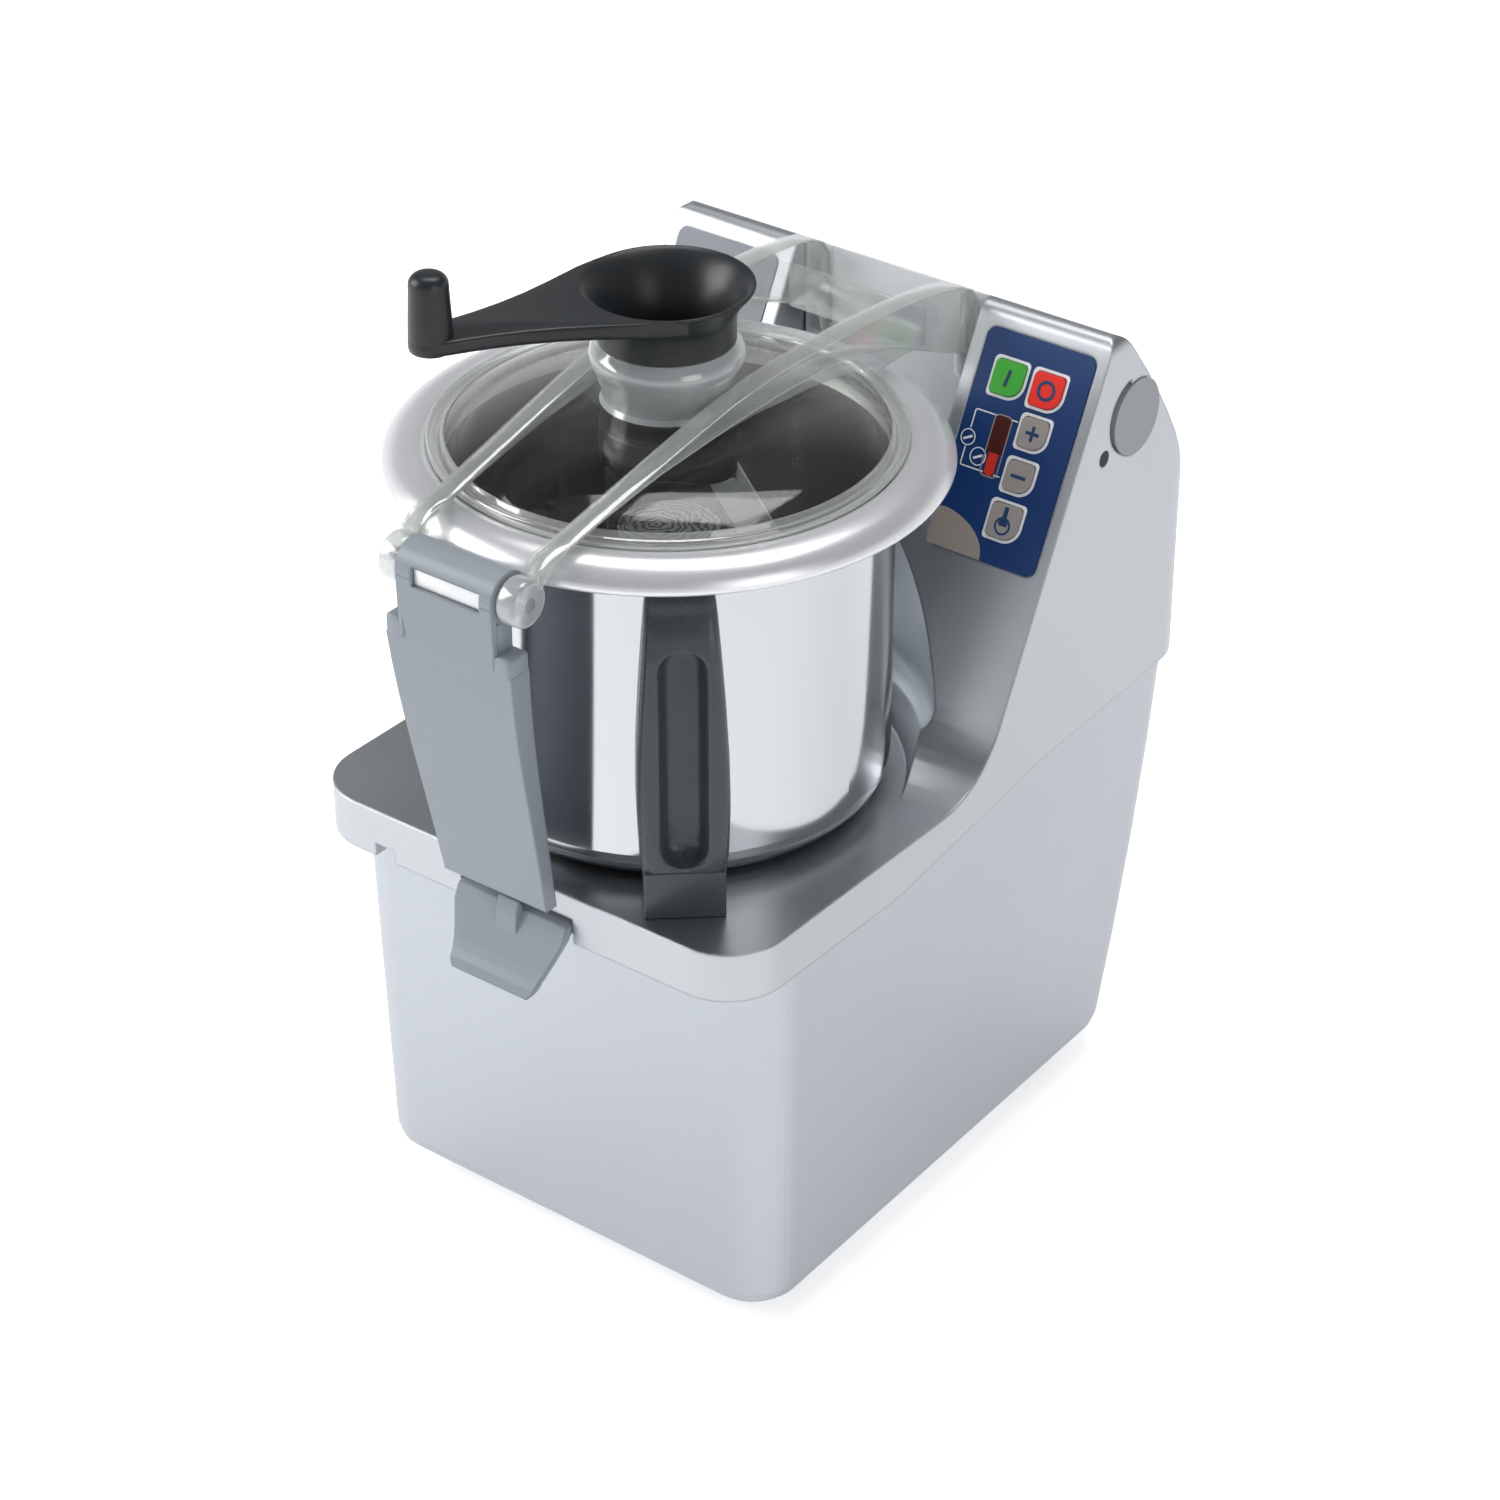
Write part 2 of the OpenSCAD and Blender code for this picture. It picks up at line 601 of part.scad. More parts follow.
module control_label() {
    color("navy") housed() difference() {
        on_slope(label_x, label_mid) translate([0, 0, -label_t / 2])
            plate(-label_w / 2, label_w / 2, -label_h / 2, label_h / 2, 5, label_t);
        key_holes(3);
        on_slope(label_x - bar_in, label_mid) translate([0, 0, -2]) plate(-2.6 - key_gap, 2.6 + key_gap, -14.5, 14.5, 2.5, 5);
    }
}
module speed_bar() {
    color("firebrick") housed() on_slope(label_x - bar_in, label_mid)
        translate([0, 0, -label_t / 2]) plate(-2.6, 2.6, -14.2, 14.2, 2.4, label_t + 0.1);
}
module tower_badge() {
    color("lightgray") housed() on_slope(-label_x, label_mid) translate([0, 0, -label_t / 2])
        plate(-label_w / 2, label_w / 2, -label_h / 2, label_h / 2, 5, label_t);
}
module key(i, c) {
    color(c) housed() on_slope(key_at(i)[0], key_at(i)[1]) {
        translate([0, 0, -2]) linear_extrude(2 + label_t / 2 + key_travel + 0.3) key_shape(i, 0);
        translate([0, 0, -3]) cylinder(d = 5, h = 2);
    }
}
module start_key() { key(0, "limegreen"); }
module stop_key() { key(1, "red"); }
module faster_key() { key(2, "rosybrown"); }
module slower_key() { key(3, "rosybrown"); }
module pulse_key() { key(4, "rosybrown"); }
module cable_gland() {
    y = level(gland_z)[3];
    color("dimgray") housed() translate([0, y - 6, gland_z]) rotate([-90, 0, 0]) difference() {
        union() {
            cylinder(d = 16, h = 12);
            translate([0, 0, 8.1]) cylinder(d = 24, h = 5);
            translate([0, 0, 12]) cylinder(d = 18, h = 8);
        }
        translate([0, 0, -1]) cylinder(d = 8, h = 40);
    }
}

/* Bowl */
floor_z = tray_h + seat_gap;
boss_r = shaft_d / 2 + 12;
// Sheet with a dome around the shaft
module bowl() {
    t = bowl_t;
    color("silver") on_bowl() rotate_extrude($fn = 120) polygon(concat(
        [[chimney_r - t, tray_h + 6 + t], [chimney_r - t, tray_h + 6], [boss_r + 3, tray_h + 6], [boss_r + 7, floor_z]],
        arc([bowl_r - bowl_edge, floor_z + bowl_edge], bowl_edge, 270, 360, 6),
        [[bowl_r, rim_z - rim_t], [bowl_r - t, rim_z - rim_t]],
        arc([bowl_r - bowl_edge, floor_z + bowl_edge], bowl_edge - t, 360, 270, 6),
        [[boss_r + 8, floor_z + t], [boss_r + 4, tray_h + 6 + t]]));
}
// Heavy rim welded to the upper edge of the sheet
module bowl_rim() {
    r = rim_r - rim_t / 2;
    color("silver") on_bowl() rotate_extrude($fn = 120) polygon(concat(
        [[bowl_r - bowl_t, rim_z - rim_t], [r, rim_z - rim_t]], arc([r, rim_z - rim_t / 2], rim_t / 2, 300, 420, 6),
        [[r - 3, rim_z - 0.2], [bowl_r + 12, rim_z], [bowl_r + 7, rim_z - 1], [bowl_r + 4.5, rim_z - 4]]));
}
// Tube round the drive shaft, welded to the dome
module bowl_chimney() {
    color("silver") on_bowl() translate([0, 0, tray_h + 6 + bowl_t]) difference() {
        cylinder(r = chimney_r, h = chimney_h - 6 - bowl_t);
        translate([0, 0, -1]) cylinder(r = chimney_r - bowl_t, h = chimney_h);
    }
}
handle_h = rim_z - rim_t - floor_z - handle_under;
stud_d = 5;
stud_l = handle_out - groove_d - 3;
stud_z = [floor_z + 36, floor_z + handle_h - 36];
module on_handle() { on_bowl() rotate(handle_a - 90) children(); }
module bowl_handle() {
    r0 = bowl_r + seat_gap;
    r1 = bowl_r + handle_out;
    z0 = floor_z;
    z1 = floor_z + handle_h;
    color("dimgray") on_handle() difference() {
        intersection() {
            rotate([90, 0, 0]) linear_extrude(handle_w + 10, center = true) polygon(concat(
                [[r0 - 8, z0], [r1 + 0.5, z0], [r1 + 0.5, z0 + 18]],
                bezier([r1, z0 + 26], [r1 - 1, z0 + 70], [r1 + 2, z1 - 50], [r1 - 4, z1 - 18]),
                arc([r1 - 16, z1 - 12], 12, 0, 90, 5), [[r0 - 8, z1]]));
            rotate([0, 90, 0]) linear_extrude(200) polygon([
                [-z0, -handle_foot_w / 2], [-z0 - 20, -handle_foot_w / 2], [-z0 - 30, -handle_w / 2],
                [-z1 + 30, -handle_w / 2], [-z1 + 12, -handle_w / 2 + 3], [-z1, -handle_w / 2 + 7],
                [-z1, handle_w / 2 - 7], [-z1 + 12, handle_w / 2 - 3], [-z1 + 30, handle_w / 2],
                [-z0 - 30, handle_w / 2], [-z0 - 20, handle_foot_w / 2], [-z0, handle_foot_w / 2]]);
        }
        translate([0, 0, z0 - 1]) cylinder(r = r0, h = handle_h + 10, $fn = 120);
        // Thumb groove with a round top
        translate([r1 - groove_d, -11, z0 + 22]) cube([30, 22, handle_h - 47]);
        translate([r1 - groove_d, 0, z0 + handle_h - 25]) rotate([0, 90, 0]) cylinder(r = 11, h = 30);
        for (z = stud_z) translate([r0 - 5, 0, z]) rotate([0, 90, 0]) cylinder(d = stud_d + 2 * run_gap, h = stud_l + 6);
    }
}
// Studs welded to the bowl that the handle is pressed onto
module handle_studs() {
    color("silver") on_handle() for (z = stud_z) translate([bowl_r + 0.2, 0, z]) rotate([0, 90, 0]) cylinder(d = stud_d, h = stud_l);
}

/* Cutter */
hub_low = tray_h + 6 + bowl_t + 1;
module cutter_hub() {
    color("whitesmoke") on_bowl() difference() {
        rotate_extrude() polygon(concat([[0, hub_low], [hub_r, hub_low], [hub_r, hub_low + 5], [hub_r - 6, hub_low + 22],
            [hub_r - 9, hub_low + 32], [hub_r - 10, hub_z - 18], [hub_cap_r, hub_z - 9]],
            arc([hub_cap_r - 5, hub_z - 5], 5, 0, 90, 4), [[0, hub_z + 1]]));
        translate([0, 0, hub_low - 1]) cylinder(r = chimney_r + 1.2, h = tray_h + chimney_h + 4 - hub_low);
        translate([0, 0, hub_low]) cylinder(d = shaft_d + 2 * run_gap, h = tray_h + chimney_h + 22 - hub_low);
        blade_place(0, 0.02);
        blade_place(1, 0.02);
    }
}
// Crescent blade: the cutting edge leads, with fine teeth
module blade_shape() {
    r = blade_r;
    edge = [for (i = [0:2 * tooth_n]) let (t = i / (2 * tooth_n), x = 30 + (r - 30 - 4) * t)
        [x, -blade_w * 0.62 * sin(180 * pow(t, 0.8)) - 6 + (i % 2) * tooth_d + 12 * t * t]];
    back = [for (i = [10:-1:0]) let (t = i / 10) [30 + (r - 30 - 4) * t, 12 + 8 * sin(100 * t) + 4 * t - 14 * t * t]];
    intersection() {
        polygon(concat([[18, -8]], edge, back, [[18, 10]]));
        circle(r = r, $fn = 120);
    }
}
module blade_place(n, grow) {
    z = hub_low + (n == 0 ? 2 : 16);
    rotate(n * 180 + 20) translate([0, 0, z]) rotate([0, -n * blade_tilt, 0]) translate([0, 0, -grow])
        linear_extrude(blade_t + 2 * grow) intersection() {
            blade_shape();
            translate([17, -100]) square([200, 200]);
        }
}
module lower_blade() { color("silver") on_bowl() blade_place(0, 0); }
module upper_blade() { color("silver") on_bowl() blade_place(1, 0); }

/* Scraper */
joint_z = rim_z - joint_drop;
bar_r1 = bowl_r - bowl_t - seat_gap;
bar_r0 = bar_r1 - wiper_t;
bar_top = rim_z - wiper_drop;
module scraper_collar() {
    color("black") on_bowl() rotate(crank_a) difference() {
        translate([0, 0, joint_z - collar_h]) cylinder(r = collar_r, h = collar_h);
        translate([0, 0, joint_z - collar_h - 1]) cylinder(r = fill_r, h = collar_h + 2);
        // Slanted lower edge
        translate([0, 0, joint_z - collar_h]) rotate([0, 0, 57]) rotate([0, -18, 0])
            translate([-60, -60, -30]) cube([120, 120, 24]);
        // Notches for the crank dogs
        for (a = [0, 180]) rotate(a) translate([fill_r - 4, -6, joint_z - 4]) cube([collar_r, 12, 10]);
    }
}
module wall_scraper() {
    color("black") on_bowl() rotate(crank_a + wiper_a) {
        intersection() {
            difference() {
                translate([0, 0, floor_z + bowl_t + 4]) cylinder(r = bar_r1, h = bar_top - floor_z - bowl_t - 4, $fn = 120);
                translate([0, 0, floor_z]) cylinder(r = bar_r0, h = 300, $fn = 120);
            }
            translate([0, -wiper_w / 2, floor_z + bowl_t + bowl_edge]) cube([150, wiper_w, 300]);
        }
        difference() {
            translate([0, -6, bar_top - 9]) cube([bar_r0 + 1, 12, 9]);
            translate([0, 0, bar_top - 20]) cylinder(r = collar_r, h = 40, $fn = 144);
        }
    }
}
module deflector() {
    color("darkgray") on_bowl() rotate(deflector_a) difference() {
        translate([collar_r - 11, 4, joint_z - 7.5]) rotate([0, -28, 0])
            translate([-deflector_w / 2, 0, -deflector_l]) cube([deflector_w, 3.5, deflector_l + 12]);
        translate([0, 0, joint_z - collar_h]) cylinder(r = collar_r, h = 60);
        translate([-50, -50, joint_z - 1]) cube([150, 100, 60]);
    }
}

/* Lid */
lid_in = bowl_r - bowl_t + 2;
arm_end = hinge_y - block_front - seat_gap;
cross_y = bowl_y + rim_r + 12;
tenon = 6;
rib_mid = lid_z + rib_h - 1.5;
function rib_top(d) = concat(
    bezier([-lug_out + 14, lug_z + lug_d / 2 + 5 - d], [20, lid_z + 14 - d], [50, rib_mid - 2 - d], [bowl_y - 10, rib_mid - 1 - d], 8),
    bezier([bowl_y + 10, rib_mid - d], [180, rib_mid + 3 - d], [220, rib_mid + 2 - d], [cross_y + 6.5, rib_mid - 3 - d], 6));
// Places a rib in its slightly turned plane
module on_rib() {
    for (m = [0, 1]) mirror([m, 0, 0]) translate([rib_front, -lug_out, 0]) rotate(-rib_turn)
        translate([0, lug_out, 0]) children();
}
module rib_side() {
    polygon(concat([[-lug_out, lug_z - lug_d / 2 + 5], [-lug_out, lug_z + lug_d / 2 - 1]], rib_top(0),
        [[cross_y + 20.5, rib_mid - 5], [arm_end - 3, rib_mid - 12], [arm_end, rib_mid - 18], [arm_end, hinge_z + 26], [arm_end + tenon, hinge_z + 26],
         [arm_end + tenon, hinge_z + 6], [arm_end, hinge_z + 6], [arm_end, hinge_z], [cross_y + 12.5, hinge_z - 2], [cross_y - 3.5, lid_z - 8],
         [cross_y - 9.5, lid_z + 0.5], [-16, lid_z + 0.5], [-18, lug_z]]));
}
// Upper face of the lid as radius and height, from the edge to the top of the neck
function lid_face(d) = [[lid_in + 5.5 + d, lid_z + 0.5], [lid_in + 4.5 + d, lid_z + 1.5 + d], [lid_in - 3, lid_z + 1.5 + d],
    [neck_r + 6, lid_z + lid_rise - 1 + d], [neck_r - 1 + d, lid_z + lid_rise + 2 + d]];
module lid() {
    color("lightcyan", 0.6) housed() difference() {
        translate([0, bowl_y, 0]) rotate_extrude($fn = 120) polygon(concat([
            [tube_r + 1, lid_z + lid_rise - 2], [neck_r - 2, lid_z + lid_rise - 4], [lid_in - 8, lid_z - 1.5],
            [lid_in - 3, lid_z - 8], [lid_in, lid_z - 8], [lid_in, lid_z - 3.5], [lid_in + 4.5, lid_z - 3.5],
            [lid_in + 5.5, lid_z - 2], [lid_in + 5.5, lid_z + 0.5], [lid_in + 4.5, lid_z + 1.5], [lid_in + 3.5, lid_z + 1.5],
            [lid_in + 2, lid_z - 0.5], [lid_in - 1, lid_z - 0.5], [lid_in - 2.5, lid_z + 1.5]],
            [for (i = [3, 4]) lid_face(0)[i]],
            [[neck_r - 1, neck_z - 20], [neck_r, neck_z - 18], [neck_r, neck_z - 12], [neck_r - 1, neck_z - 10],
             [neck_r - 1, neck_z - 6], [neck_r - 2, neck_z - 4], [neck_r - 2, neck_z], [tube_r + 1, neck_z]]));
        translate([0, bowl_y, lid_z]) cylinder(r = tube_r + run_gap, h = 200);
    }
}
// Pair of hollow arms on the lid, with the lugs in front and a cross wall behind the rim
module lid_arms() {
    color("lightcyan", 0.6) housed() difference() {
        union() {
            difference() {
                on_rib() side_view(rib_t) rib_side();
                on_rib() side_view(rib_t - 2 * rib_wall) polygon(concat([[-lug_out + 14, lid_z - 3]], rib_top(rib_wall),
                    [[cross_y + 14.5, rib_mid - 9], [cross_y + 14.5, hinge_z - 4], [cross_y - 7.5, lid_z - 14]]));
            }
            for (m = [-1, 1]) translate([0, -lug_out, lug_z]) rod_x(lug_d, rib_t, m * rib_front);
            translate([-gap_half + 2, cross_y, lid_z - 6]) cube([2 * gap_half - 4, 3, rib_h - 8]);
            translate([-gap_half + 2, cross_y - 1, lid_z - 6]) cube([2 * gap_half - 4, 5, 5]);
        }
        // Seat on the lid and its neck
        translate([0, bowl_y, 0]) rotate_extrude($fn = 120) polygon(concat([[0, lid_z - 30], [lid_in + 5.6, lid_z - 30]],
            lid_face(0.1), [[neck_r + 0.1, neck_z - 20], [neck_r + 0.1, neck_z + 10], [0, neck_z + 10]]));
        translate([0, -lug_out, lug_z]) rod_x(latch_pin_d + 2 * run_gap, 200);
        translate([0, -lug_out, lug_z]) rod_x(2 * latch_r + 1, 2 * (rib_front - rib_t / 2));
    }
}
module lid_seal() {
    color("whitesmoke") on_bowl() translate([0, 0, lid_z - 7.5]) difference() {
        cylinder(r = lid_in + 1.6, h = 4, $fn = 120);
        translate([0, 0, -1]) cylinder(r = lid_in, h = 6, $fn = 120);
    }
}
module latch_pin() {
    color("silver") housed() translate([0, -lug_out, lug_z]) rod_x(latch_pin_d, 2 * rib_front + rib_t - 1);
}

/* Crank */
arm_z = funnel_z - arm_t;
// Outline of the arm, as shares of its length and of the widening from grip to funnel
arm_side = [for (q = [[0.89, 0.063], [0.78, 0.126], [0.66, 0.232], [0.53, 0.379], [0.41, 0.561], [0.32, 0.723], [0.2, 0.828]])
    [q[0] * crank_l, knob_r + q[1] * (funnel_r - knob_r)]];
module crank_funnel() {
    color("black") on_bowl() rotate(crank_a) difference() {
        union() {
            rotate_extrude($fn = 96) polygon([[0, joint_z + 0.4], [tube_r, joint_z + 0.4], [tube_r, neck_z + 0.4],
                [collar_r, neck_z + 0.4], [collar_r, funnel_z - 12], [funnel_r - 4, funnel_z - 7], [funnel_r, funnel_z - 1.5],
                [funnel_r - 0.5, funnel_z], [0, funnel_z]]);
            translate([0, 0, arm_z]) linear_extrude(arm_t) polygon(concat(arc([crank_l, 0], knob_r, -80, 80, 10),
                arm_side, [[0, 0]], [for (i = [len(arm_side) - 1:-1:0]) [arm_side[i][0], -arm_side[i][1]]]));
            for (a = [0, 180]) rotate(a) translate([0, -4.8, joint_z - 2.8])
                intersection() {
                    cube([tube_r, 9.6, 5]);
                    cylinder(r = tube_r, h = 5);
                }
        }
        rotate_extrude($fn = 96) polygon([[0, joint_z - 10], [fill_r + 2, joint_z - 10], [fill_r + 2, neck_z + 6],
            [fill_r + 4, neck_z + 9], [funnel_r - 7, funnel_z - 5], [funnel_r - 2.5, funnel_z + 0.5], [0, funnel_z + 0.5]]);
        translate([crank_l, 0, arm_z - 5]) cylinder(r = 4 + run_gap, h = 30);
    }
}
module crank_knob() {
    color("black") on_bowl() rotate(crank_a) translate([crank_l, 0, arm_z + arm_t]) rotate_extrude() polygon(concat(
        [[0, -arm_t], [4, -arm_t], [4, 0], [knob_r, 0], [knob_r - 0.7, 8]],
        arc([knob_r - 6.5, knob_h - 5], 5, 4, 84, 5), [[0, knob_h]]));
}

/* Latch */
latch_low = tray_h - 2;
// Outer face of the plate, from the barrel down to the lip
function plate_face(d) = bezier([-lug_out - latch_r + d, lug_z - 2], [-lug_out - latch_r + 1 + d, lug_z - 60],
    [-lug_out + 1 + d, latch_low + 70], [-body_inset + 8 + d, latch_low]);
module latch_plate() {
    n = 10;
    a = plate_face(0);
    b = plate_face(latch_t);
    c = [for (i = [0:n]) a[i] + [flange_d - (flange_d - flange_low) * i / n, 0]];
    color("slategray") housed() difference() {
        union() {
            translate([0, -lug_out, lug_z]) rod_x(2 * latch_r, latch_top_w);
            side_view(latch_top_w) polygon(concat(a, [for (i = [n:-1:0]) b[i]]));
            intersection() {
                side_view(latch_w) polygon(concat(a, [for (i = [n:-1:0]) min(b[i][0], -1) == b[i][0] ? b[i] : [-1, b[i][1]]]));
                latch_outline();
            }
            difference() {
                intersection() {
                    side_view(latch_w) polygon(concat(a, [for (i = [n:-1:0]) [min(c[i][0], -0.6), c[i][1]]]));
                    latch_outline();
                }
                latch_inner();
            }
        }
        translate([0, -lug_out, lug_z]) rod_x(latch_pin_d + 2 * run_gap, 200);
        // Window slot in the front of the barrel
        translate([-latch_top_w / 2 + 9, -lug_out - latch_r - 5, lug_z - 5]) cube([latch_top_w - 16, latch_r + 5, 9]);
    }
}
shoulder_z = lug_z - 32;
module latch_front(x) {
    translate([0, 40, 0]) rotate([90, 0, 0]) linear_extrude(120) polygon([
        [-latch_low_w / 2 + x, latch_low - 0.1], [latch_low_w / 2 - x, latch_low - 0.1],
        [latch_w / 2 - x, shoulder_z - 1], [latch_w / 2 - x - 3, shoulder_z + 2 - x], [-latch_w / 2 + x + 3, shoulder_z + 2 - x],
        [-latch_w / 2 + x, shoulder_z - 1]]);
}
module latch_outline() { latch_front(0); }
module latch_inner() {
    intersection() {
        latch_front(latch_t);
        translate([-100, -100, 0]) cube([200, 200, shoulder_z - latch_t]);
    }
}
module tongue_side() {
    polygon(concat([[tongue_y, tongue_z + tongue_pin_d / 2 + 2], [2, tongue_z + 4]],
        bezier([-3, tongue_z + 3], [-7, tongue_z - 4], [-11, tongue_z - 18], [-19, tongue_z - 26], 8),
        [[-21, tongue_z - 30], [-19.5, tongue_z - 31.5]],
        bezier([-17, tongue_z - 29], [-9, tongue_z - 20], [-5, tongue_z - 10], [-1, tongue_z - 2], 8),
        [[2, tongue_z - 0.5], [tongue_y, tongue_z - 0.5]]));
}
module release_tongue() {
    color("slategray") housed() difference() {
        union() {
            translate([0, tongue_y, tongue_z]) rod_x(tongue_pin_d + 5, tongue_w);
            intersection() {
                side_view(tongue_w) tongue_side();
                translate([0, 40, 0]) rotate([90, 0, 0]) linear_extrude(90) polygon(concat(
                    [[tongue_w / 2, tongue_z + 10], [-tongue_w / 2, tongue_z + 10], [-tongue_w / 2, tongue_z - 4]],
                    arc([-tongue_tip_w / 2 + 8, tongue_z - 24], 8, 180, 270, 5),
                    arc([tongue_tip_w / 2 - 8, tongue_z - 24], 8, 270, 360, 5), [[tongue_w / 2, tongue_z - 4]]));
            }
            // Nose that the latch plate rides behind
            translate([0, 0, tongue_z]) side_view(12) polygon([[-8, -8], [-3, -2], [-2.5, 5], [-5, 8.5], [-7.5, 1]]);
        }
        translate([0, tongue_y, tongue_z]) rod_x(tongue_pin_d + 2 * run_gap, 100);
    }
}
module tongue_pin() {
    color("silver") housed() translate([0, tongue_y, tongue_z]) rod_x(tongue_pin_d, tongue_w + 20);
}
module tongue_spring() {
    color("silver") housed() translate([0, body_inset - 3, seam_z + 4]) side_view(18)
        polygon([[0, 0], [0, 9], [-0.8, 9], [-0.8, 0.8], [-1.6, 0.8], [-1.6, 0]]);
}

top_casting();
lower_body();
base_plate();
feet();
foot_screws();
motor_housing();
motor_screws();
shaft_seal();
hinge_pin();
hinge_caps();
hinge_block();
side_plugs();
control_board();
key_switches();
interlock_switch();
control_label();
speed_bar();
tower_badge();
start_key();
stop_key();
faster_key();
slower_key();
pulse_key();
cable_gland();
tongue_pin();
tongue_spring();
bowl();
bowl_rim();
bowl_chimney();
bowl_handle();
handle_studs();
drive_shaft();
motor_armature();
cooling_fan();
cutter_hub();
lower_blade();
upper_blade();
scraper_collar();
wall_scraper();
deflector();
lid();
lid_arms();
lid_seal();
latch_pin();
crank_funnel();
crank_knob();
latch_plate();
release_tongue();
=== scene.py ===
# Bench vertical cutter mixer: looks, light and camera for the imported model.
# Profiles and outlines are in millimetres: depth behind the front of the tray's lip, and height
# above the underside of the shell. LIP and FEET, in metres, carry them to the model's frame.
import math

import bmesh
import bpy
from mathutils import Matrix, Vector


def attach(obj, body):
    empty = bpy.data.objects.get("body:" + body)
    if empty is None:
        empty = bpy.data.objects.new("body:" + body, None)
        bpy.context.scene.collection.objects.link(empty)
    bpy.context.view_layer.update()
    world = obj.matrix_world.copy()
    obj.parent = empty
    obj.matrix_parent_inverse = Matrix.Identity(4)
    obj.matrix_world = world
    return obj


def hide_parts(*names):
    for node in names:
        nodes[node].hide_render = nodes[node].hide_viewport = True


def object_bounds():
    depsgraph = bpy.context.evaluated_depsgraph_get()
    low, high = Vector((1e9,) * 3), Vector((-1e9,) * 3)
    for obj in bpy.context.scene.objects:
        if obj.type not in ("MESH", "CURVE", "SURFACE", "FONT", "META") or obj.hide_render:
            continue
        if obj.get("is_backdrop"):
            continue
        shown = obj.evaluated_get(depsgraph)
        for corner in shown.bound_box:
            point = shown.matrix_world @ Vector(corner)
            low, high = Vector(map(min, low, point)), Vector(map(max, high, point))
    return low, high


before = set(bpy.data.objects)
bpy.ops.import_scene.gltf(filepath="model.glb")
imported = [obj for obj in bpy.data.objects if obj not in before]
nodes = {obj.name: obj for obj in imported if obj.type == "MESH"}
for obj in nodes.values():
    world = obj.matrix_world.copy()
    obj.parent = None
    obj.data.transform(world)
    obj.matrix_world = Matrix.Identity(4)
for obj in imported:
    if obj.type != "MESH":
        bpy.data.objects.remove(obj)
cad_box = [list(map(float, corner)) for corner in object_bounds()]

# --- Studio ---------------------------------------------------------------
# The mixer was photographed from its front right, a little above the funnel,
# on a white sweep. Large soft boxes stand to the left, above and to the right.
CAMERA_TURN, CAMERA_TIP = math.radians(37.4024), math.radians(31.8792)
CAMERA_REACH = 1.956485
CAMERA_LENS, FILM_WIDTH = 97.17, 36
AIM = Vector((-0.00056, 0.01247, 0.21059))
SWEEP_RADIUS = 6
LAMPS_AIM_AT = Vector((0, 0, 0.25))
SOFT_BOXES = (
    # name, place and size in metres, watts
    ("left soft box", (-1.9, -1.3, 1.5), (1.6, 1.6), 41),
    ("right soft box", (2.3, -0.7, 1.2), (1.2, 1.6), 9),
    ("top soft box", (-0.2, 0.5, 2.4), (1.5, 1.0), 20))
# Grey of the mirrored room by the height of the reflected ray, 0 level and 1 upright
ROOM_GREYS = ((0.10, 0.72), (0.22, 0.36), (0.36, 0.19), (0.62, 0.17))

scene = bpy.context.scene
scene.view_settings.view_transform = "Standard"


def linear(code):
    """An sRGB hex colour as the linear RGBA that shaders use."""
    parts = [int(code[i:i + 2], 16) / 255 for i in (1, 3, 5)]
    return (*[c / 12.92 if c <= 0.04045 else ((c + 0.055) / 1.055) ** 2.4 for c in parts], 1.0)


def add(tree, kind, inputs=None, **settings):
    """Adds one node, sets its settings, and sets or links its inputs."""
    made = tree.nodes.new(kind)
    for name, value in settings.items():
        setattr(made, name, value)
    for name, value in (inputs or {}).items():
        socket = made.inputs[name]
        if isinstance(value, bpy.types.NodeSocket):
            tree.links.new(value, socket)
        else:
            socket.default_value = value
    return made


def blank_material(name):
    """A named material with an empty tree and its output node."""
    made = bpy.data.materials.new(name)
    made.use_nodes = True
    made.node_tree.nodes.clear()
    return made, made.node_tree, made.node_tree.nodes.new("ShaderNodeOutputMaterial")


camera = bpy.data.cameras.new("camera")
camera.lens = CAMERA_LENS
camera.sensor_width = FILM_WIDTH
camera.sensor_fit = "HORIZONTAL"
camera.clip_end = 30
camera_stand = bpy.data.objects.new("camera", camera)
scene.collection.objects.link(camera_stand)
back = Vector((math.sin(CAMERA_TURN) * math.cos(CAMERA_TIP),
               -math.cos(CAMERA_TURN) * math.cos(CAMERA_TIP), math.sin(CAMERA_TIP)))
camera_stand.location = AIM + back * CAMERA_REACH
camera_stand.rotation_euler = back.to_track_quat("Z", "Y").to_euler()
scene.camera = camera_stand

sweep = bmesh.new()
bmesh.ops.create_circle(sweep, cap_ends=True, segments=96, radius=SWEEP_RADIUS)
sweep_mesh = bpy.data.meshes.new("floor")
sweep.to_mesh(sweep_mesh)
sweep.free()
floor = bpy.data.objects.new("floor", sweep_mesh)
scene.collection.objects.link(floor)
# White paper: its glow lifts it to white for the camera, and is fainter for all other rays
paper, tree, out = blank_material("white paper sweep")
path = add(tree, "ShaderNodeLightPath")
seen = add(tree, "ShaderNodeMath",
           {0: path.outputs["Is Camera Ray"], 1: path.outputs["Is Transmission Ray"]},
           operation="MAXIMUM")
body = add(tree, "ShaderNodeBsdfPrincipled",
           {"Base Color": linear("#F4F4F4"), "Roughness": 0.9, "Specular IOR Level": 0.1})
glow = add(tree, "ShaderNodeEmission", {"Color": linear("#FFFFFF"), "Strength": 0.55})
faint = add(tree, "ShaderNodeEmission", {"Color": linear("#FFFFFF"), "Strength": 0.22})
both = add(tree, "ShaderNodeAddShader", {0: body.outputs[0], 1: glow.outputs[0]})
less = add(tree, "ShaderNodeAddShader", {0: body.outputs[0], 1: faint.outputs[0]})
shine = add(tree, "ShaderNodeMixShader",
            {0: seen.outputs[0], 1: less.outputs[0], 2: both.outputs[0]})
